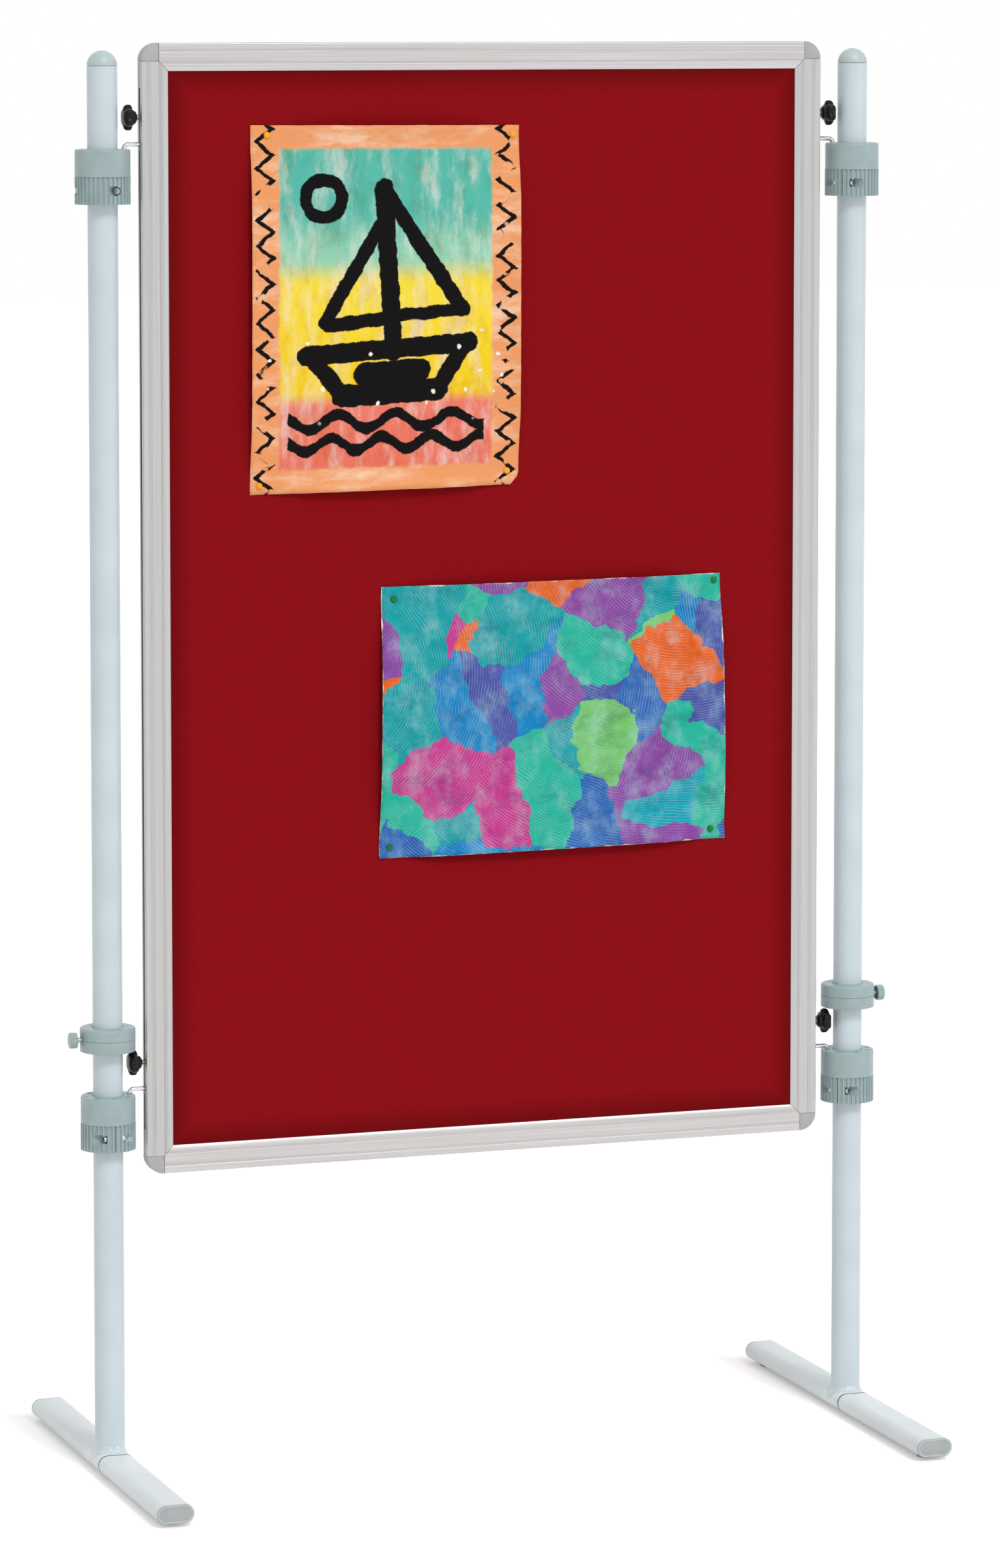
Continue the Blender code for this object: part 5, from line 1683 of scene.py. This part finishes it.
def warm_painting():
    material, shader = new_material("poster_paint_warm", Specular_IOR_Level=0.1)
    real, bent = sheet_places(material, WARM_SIZE, wander=0.009, reach=0.016)
    split = add_node(material, "SeparateXYZ", links={"Vector": bent})
    x, y = split.outputs["X"], split.outputs["Y"]
    border = washes(material, bent, (9.0, 30.0), 0.8, "ec9c66", over="f8d6b8")
    sky = paint_ramp(material, sums(material, "MULTIPLY_ADD", y, SKY_SHARE, 0.5), SKY_PAINTS)
    inner = washes(material, bent, (34.0, 9.0), 0.6, sky)
    inner = washes(material, bent, (31.0, 17.0), 0.35, inner, over="c98a3a", blend="MULTIPLY")
    across = sums(material, "SUBTRACT", sums(material, "ABSOLUTE", x), INNER_HALVES[0])
    upward = sums(material, "SUBTRACT", sums(material, "ABSOLUTE", y), INNER_HALVES[1])
    outside = sums(material, "MAXIMUM", across, upward)
    colour = blended(material, stroke(material, outside, 0.0, 0.003), border, inner)
    colour = blended(material, warm_ink(material, bent, x, y), colour, "080607")
    values = {"Scale": 1 / DOT_PITCH, "Randomness": 0.8}
    cells = add_node(material, "TexVoronoi", values=values, links={"Vector": bent}).outputs["Distance"]
    dots = stroke(material, cells, 0.12, 0.03)
    from_dots = sums(material, "ABSOLUTE", sums(material, "ADD", y, DOTS_BELOW))
    lower = stroke(material, from_dots, DOTS_REACH, 0.01)
    colour = blended(material, sums(material, "MULTIPLY", dots, lower), colour, "f6f1e8")
    finish_paint(material, shader, colour, real)
    return material


WARM_PAINTING = warm_painting()
print("warm painting has", len(WARM_PAINTING.node_tree.nodes), "nodes")

# %% The cool painting: a patchwork with combed lines
COOL_SIZE = (0.492, 0.366)
PATCH = 0.084
COMB_PITCH = 0.0038
COMB_PRESS = 0.035
BARE_EDGE = 0.0064
RAGGED_EDGE = 0.012
RAGGED_LENGTH = 0.03
PATCHES_FROM = (0.31, 0.17, 0.0)
# The point that each comb swung round, in metres from the sheet's middle, and which patches it went over
COMB_SWINGS = [((-0.31, 0.06), 0.48, 0.46), ((0.19, 0.26), 0.52, 0.54)]
COOL_PAINTS = [
    (0.0, "2f66b4"),
    (0.12, "0f9ea4"),
    (0.26, "1484c2"),
    (0.36, "28b49c"),
    (0.50, "4d55a6"),
    (0.60, "74c26a"),
    (0.70, "8b4aa2"),
    (0.78, "12a2b4"),
    (0.885, "c43c8e"),
    (0.92, "e4641e"),
]


def combed(material, place, centre, colour, share):
    """Pale arcs that a comb's teeth scratched round a point, here deep and there faint, where share is 1."""
    values = {"Location": (-centre[0], -centre[1], 0.0)}
    along = add_node(material, "Mapping", values=values, links={"Vector": place}).outputs["Vector"]
    settings = {"wave_type": "RINGS", "rings_direction": "Z"}
    values = {"Scale": 1 / (COMB_PITCH * 3.2), "Distortion": 9.0, "Detail": 2.0, "Detail Scale": 0.25}
    wave = add_node(material, "TexWave", settings=settings, values=values, links={"Vector": along})
    teeth = shaded_share(material, wave.outputs["Fac"], 0.84, 1.0, 0.30)
    values = {"Scale": 1 / COMB_PRESS, "Detail": 3.0, "Roughness": 0.65}
    pressed = add_node(material, "TexNoise", values=values, links={"Vector": along}).outputs["Fac"]
    teeth = sums(material, "MULTIPLY", teeth, shaded_share(material, pressed, 0.36, 0.62))
    return blended(material, sums(material, "MULTIPLY", teeth, share), colour, "d2e4ea")


def cool_painting():
    material, shader = new_material("poster_paint_cool", Specular_IOR_Level=0.1)
    real, bent = sheet_places(material, COOL_SIZE, wander=0.110, reach=0.120)
    values = {"Scale": 1 / PATCH, "Randomness": 0.9}
    moved = add_node(material, "Mapping", values={"Location": PATCHES_FROM}, links={"Vector": bent})
    links = {"Vector": moved.outputs["Vector"]}
    patches = add_node(material, "TexVoronoi", values=values, links=links).outputs["Color"]
    chance = add_node(material, "SeparateColor", links={"Color": patches})
    paints = paint_ramp(material, chance.outputs["Red"], COOL_PAINTS, interpolation="CONSTANT")
    colour = washes(material, real, (24.0, 17.0), 0.32, paints, over="b8e8ea")
    colour = washes(material, real, (17.0, 30.0), 0.42, colour, over="5a74a8", blend="MULTIPLY")
    for centre, low, high in COMB_SWINGS:
        chosen = shaded_share(material, chance.outputs["Green"], low, high)
        colour = combed(material, real, centre, colour, chosen)
    split = add_node(material, "SeparateXYZ", links={"Vector": real})
    across = sums(material, "SUBTRACT", sums(material, "ABSOLUTE", split.outputs["X"]), COOL_SIZE[0] / 2)
    upward = sums(material, "SUBTRACT", sums(material, "ABSOLUTE", split.outputs["Y"]), COOL_SIZE[1] / 2)
    outside = sums(material, "MAXIMUM", across, upward)
    values = {"Scale": 1 / RAGGED_LENGTH, "Detail": 4.0}
    ragged = add_node(material, "TexNoise", values=values, links={"Vector": real}).outputs["Fac"]
    margin = sums(material, "MULTIPLY_ADD", ragged, RAGGED_EDGE, outside)
    colour = blended(material, stroke(material, margin, BARE_EDGE), PAPER_WHITE, colour)
    finish_paint(material, shader, colour, real)
    return material


COOL_PAINTING = cool_painting()
print("cool painting has", len(COOL_PAINTING.node_tree.nodes), "nodes")

# %% [markdown]
# ## The sheets and their pins
#
# A pin near each corner holds a sheet to the felt. Between the pins it lifts by almost a centimetre, and its
# edges curl up, so it throws a soft shade on the felt. A cloth solver could do this, but paper hardly
# stretches or folds, so the lift is put into a fine grid directly. A Solidify modifier gives the paper its
# thickness.

# %% Paper
PAPER_THICKNESS = 0.0005
PAPER_CELLS = 64
PAPER_LIFT = 0.0065
CURL_LIFT = 0.0060
PIN_REACH = 0.060
CURL_FROM, CURL_BAND = 0.44, 0.06
RIPPLE_HEIGHT, RIPPLES = 0.0006, 14.0
EDGE_UNEVENNESS, EDGE_WAVES = 0.0004, 60.0
FELT_FACE = -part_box("felt_front")[0].y


def corner_blend(corners, across, up):
    """A place between four corners, which are given as top left, top right, bottom right, bottom left."""
    top = corners[0].lerp(corners[1], across)
    bottom = corners[3].lerp(corners[2], across)
    return bottom.lerp(top, up)


def paper_lift(place, pins, across, up):
    """How far the paper stands off the felt: nothing at a pin, most in the middle of a side."""
    nearest = min((place - pin).length for pin in pins)
    free = 1 - math.exp(-((nearest / PIN_REACH) ** 2))
    bow = PAPER_LIFT * free * (1 - 0.4 * (across - 0.5) ** 2)
    outside = max(0.0, max(abs(across - 0.5), abs(up - 0.5)) - CURL_FROM) / CURL_BAND
    ripple = noise.noise(Vector((place.x * RIPPLES, place.y * RIPPLES, 3.0))) * RIPPLE_HEIGHT * free
    return max(0.0, bow + CURL_LIFT * free * outside**2 + ripple)


def paper_shape(corners, pins, seed):
    """A grid with a UV map, curled, with slightly uneven edges."""
    shape = bmesh.new()
    shape.loops.layers.uv.new("painting")
    cells = PAPER_CELLS
    bmesh.ops.create_grid(shape, x_segments=cells, y_segments=cells, size=0.5, calc_uvs=True)
    for vert in shape.verts:
        across, up = vert.co.x + 0.5, vert.co.y + 0.5
        place = corner_blend(corners, across, up)
        if vert.is_boundary:
            wave = noise.noise(Vector((place.x, place.y, seed)) * EDGE_WAVES)
            place += Vector((1.0, 1.0)) * wave * EDGE_UNEVENNESS
        lift = paper_lift(place, pins, across, up)
        vert.co = (place.x, -FELT_FACE - FIT - lift, place.y)
    return shape


def on_board(points):
    """Places given in millimetres from the board's middle and its lower edge."""
    return [Vector((x / 1000, BOARD_LOW.z + z / 1000)) for x, z in points]


print("paper cells are about", round(WARM_SIZE[0] / PAPER_CELLS * 1000, 1), "mm wide")

# %% Pins and sheets
PIN_RADIUS = 0.0045
PIN_HEIGHT = 0.004
SHEETS = {
    "upper": {
        "corners": [(-331.0, 1391.4), (45.0, 1389.3), (43.9, 907.4), (-333.0, 902.4)],
        "pins": [(-307.8, 1378.1), (35.8, 1376.8), (-320.2, 914.1), (27.6, 925.7)],
        "size": WARM_SIZE,
        "paint": WARM_PAINTING,
        "pin": YELLOW_PIN,
        "slot": "warm_paper",
    },
    "lower": {
        "corners": [(-150.4, 774.1), (335.6, 777.7), (343.6, 413.1), (-153.9, 407.7)],
        "pins": [(-132.6, 757.1), (327.1, 768.6), (-139.1, 422.5), (322.8, 426.8)],
        "size": COOL_SIZE,
        "paint": COOL_PAINTING,
        "pin": GREEN_PIN,
        "slot": "cool_paper",
    },
}


def pin_shape():
    """A low round head with a soft edge."""
    profile = [(0.0, PIN_HEIGHT)]
    for step in range(1, 11):
        angle = math.pi / 2 * step / 10
        rise = 0.25 + 0.75 * math.cos(angle) ** 0.8
        profile.append((PIN_RADIUS * math.sin(angle) ** 0.9, PIN_HEIGHT * rise))
    profile += [(PIN_RADIUS, 0.0004), (PIN_RADIUS - 0.0004, 0.0), (0.0, 0.0)]
    return placed(turned(profile, steps=40), turn(math.pi / 2, "X"))


def pin_heads(level, sheet, head):
    pieces = []
    foot = -FELT_FACE - FIT - PAPER_THICKNESS / 2
    for number, pin in enumerate(on_board(sheet["pins"]), start=1):
        shape = placed(head, shift(x=pin.x, y=foot, z=pin.y))
        pieces.append(make_piece(shape, f"{level}_sheet_pin_{number}", "board", sheet["pin"]))
    return pieces


pin_head = pin_shape()
for seed, (level, sheet) in enumerate(SHEETS.items()):
    corners, pins = on_board(sheet["corners"]), on_board(sheet["pins"])
    heads = pin_heads(level, sheet, pin_head)
    shape = paper_shape(corners, pins, seed)
    if level == "upper":
        # A small piece is torn off one corner
        torn = corners[2]
        sliced(shape, (torn.x - 0.011, 0.0, torn.y), (0.9, 0.0, -0.8))
        sliced(shape, (torn.x, 0.0, torn.y + 0.017), (1.0, 0.0, -0.25))
    node = f"pinned_sheet_{level}"
    paper = make_piece(shape, f"{node}_paper", "board", sheet["paint"], [node])
    wall = paper.modifiers.new("paper thickness", "SOLIDIFY")
    wall.thickness = PAPER_THICKNESS
    wall.offset = 1.0 if paper.data.polygons[0].normal.y < 0 else -1.0
    print(node, "with", len(heads), "pins")
pin_head.free()

# %% [markdown]
# ## Floor and light
#
# The piece stands on white, with only the soft shadow that its feet and posts leave. The floor is a large
# plane that keeps that shadow. What the camera sees of the floor and of the world is white by its own
# colour, so the lamps can stay low enough that pale coats on the posts and feet don't wash out. Beside the
# feet the floor gives less white of its own, and their shadow shows best there.

# %% Floor
FLOOR_SIDE = 60.0

plane = bmesh.new()
bmesh.ops.create_grid(plane, x_segments=1, y_segments=1, size=FLOOR_SIDE / 2)
floor_mesh = bpy.data.meshes.new("white_floor")
plane.to_mesh(floor_mesh)
plane.free()
floor = bpy.data.objects.new("white_floor", floor_mesh)
bpy.context.scene.collection.objects.link(floor)


def seen_directly(owner):
    """1 for rays that the camera, a gloss or a clear body sends, as one number."""
    path = add_node(owner, "LightPath")
    total = None
    for name in ("Is Camera Ray", "Is Glossy Ray", "Is Transmission Ray"):
        total = path.outputs[name] if total is None else sums(owner, "MAXIMUM", total, path.outputs[name])
    return total


FLOOR_WHITE = "f3f0ee"
FLOOR_GLOW = 0.50
FOOT_GLOW = 0.25
FOOT_BAND = (0.030, 0.080)
SHADE_ASIDE = 0.010


def foot_share(owner):
    """0 under a foot and beside it, more so on its left, rising to 1 some centimetres away."""
    split = add_node(owner, "SeparateXYZ", links={"Vector": object_coordinates(owner)})
    across = sums(owner, "ADD", split.outputs["X"], SHADE_ASIDE)
    aside = sums(owner, "SUBTRACT", sums(owner, "ABSOLUTE", across), POSTS["right"].x)
    along = sums(owner, "SUBTRACT", sums(owner, "ABSOLUTE", split.outputs["Y"]), FOOT_END)
    off = sums(owner, "MAXIMUM", sums(owner, "ABSOLUTE", aside), along)
    return shaded_share(owner, off, *FOOT_BAND)


floor_paint, floor_shader = new_material("white_floor_paint", Roughness=0.9, Specular_IOR_Level=0.1)
floor_shader.inputs["Base Color"].default_value = linear(FLOOR_WHITE)
floor_shader.inputs["Emission Color"].default_value = (1.0, 1.0, 1.0, 1.0)
glow = sums(floor_paint, "MULTIPLY_ADD", foot_share(floor_paint), FLOOR_GLOW - FOOT_GLOW, FOOT_GLOW)
glow = sums(floor_paint, "MULTIPLY", seen_directly(floor_paint), glow)
join_nodes(floor_paint, glow, floor_shader.inputs["Emission Strength"])
floor_mesh.materials.append(floor_paint)
print("floor", FLOOR_SIDE, "m square")

# %% World and lamps
SIDE_LEVEL = 0.20
FRONT_LEVEL = 0.30
ZENITH_LEVEL = 0.70
WHITE_LEVEL = 1.0

world = bpy.data.worlds.new("white room")
bpy.context.scene.world = world
world.use_nodes = True
background = world.node_tree.nodes["Background"]
background.inputs["Color"].default_value = (1.0, 1.0, 1.0, 1.0)


def sky_level():
    """Least light from the sides and most from above, so round parts show their shape."""
    direction = add_node(world, "TexCoord").outputs["Generated"]
    split = add_node(world, "SeparateXYZ", links={"Vector": direction})
    forward = sums(world, "MAXIMUM", sums(world, "MULTIPLY", split.outputs["Y"], -1.0), 0.0)
    from_front = sums(world, "MULTIPLY_ADD", forward, FRONT_LEVEL, SIDE_LEVEL)
    upward = sums(world, "MAXIMUM", split.outputs["Z"], 0.0)
    return sums(world, "MULTIPLY_ADD", upward, ZENITH_LEVEL, from_front)


sky = sky_level()
short_of_white = sums(world, "SUBTRACT", WHITE_LEVEL, sky)
level = sums(world, "MULTIPLY_ADD", seen_directly(world), short_of_white, sky)
join_nodes(world, level, background.inputs["Strength"])


def add_lamp(name, kind, place, target, energy, **settings):
    """A lamp at a place, turned to a target."""
    data = bpy.data.lights.new(name, kind)
    data.energy = energy
    for key, value in settings.items():
        setattr(data, key, value)
    lamp = bpy.data.objects.new(name, data)
    bpy.context.scene.collection.objects.link(lamp)
    way = Vector(target) - Vector(place)
    lamp.matrix_world = Matrix.Translation(place) @ way.to_track_quat("-Z", "Y").to_matrix().to_4x4()


add_lamp("key", "SUN", (0.7, -5.0, 5.8), (0.0, 0.0, 0.8), energy=1.05, angle=math.radians(14))
WINDOW_SIZE = {"shape": "RECTANGLE", "size": 1.2, "size_y": 3.4}
add_lamp("window", "AREA", (4.4, -3.6, 2.4), (0.0, 0.0, 1.0), energy=16.0, **WINDOW_SIZE)
print("lamps:", [item.name for item in bpy.data.lights])

# %% [markdown]
# ## Camera
#
# The place and the lens were found by fitting the outlines of the posts, the frame and the feet. The camera
# is about 8 m off, a little above the top of the board, and looks down by 5 degrees. The shift keeps the
# posts nearly upright in the frame.

# %% Camera
CAMERA_PLACE = (-2.6394, -7.5419, 1.962)
CAMERA_YAW = math.radians(19.409)
CAMERA_PITCH = math.radians(5.153)

lens = bpy.data.cameras.new("camera")
lens.lens = 136.943
lens.sensor_width = 36.0
lens.shift_y = -0.16
lens.clip_end = 200.0
camera = bpy.data.objects.new("camera", lens)
bpy.context.scene.collection.objects.link(camera)
bpy.context.scene.camera = camera
level_way = math.cos(CAMERA_PITCH)
way = Vector((math.sin(CAMERA_YAW) * level_way, math.cos(CAMERA_YAW) * level_way, -math.sin(CAMERA_PITCH)))
camera.matrix_world = Matrix.Translation(CAMERA_PLACE) @ way.to_track_quat("-Z", "Y").to_matrix().to_4x4()
bpy.context.scene.view_settings.view_transform = "Standard"
print("camera looks along", [round(value, 3) for value in way])
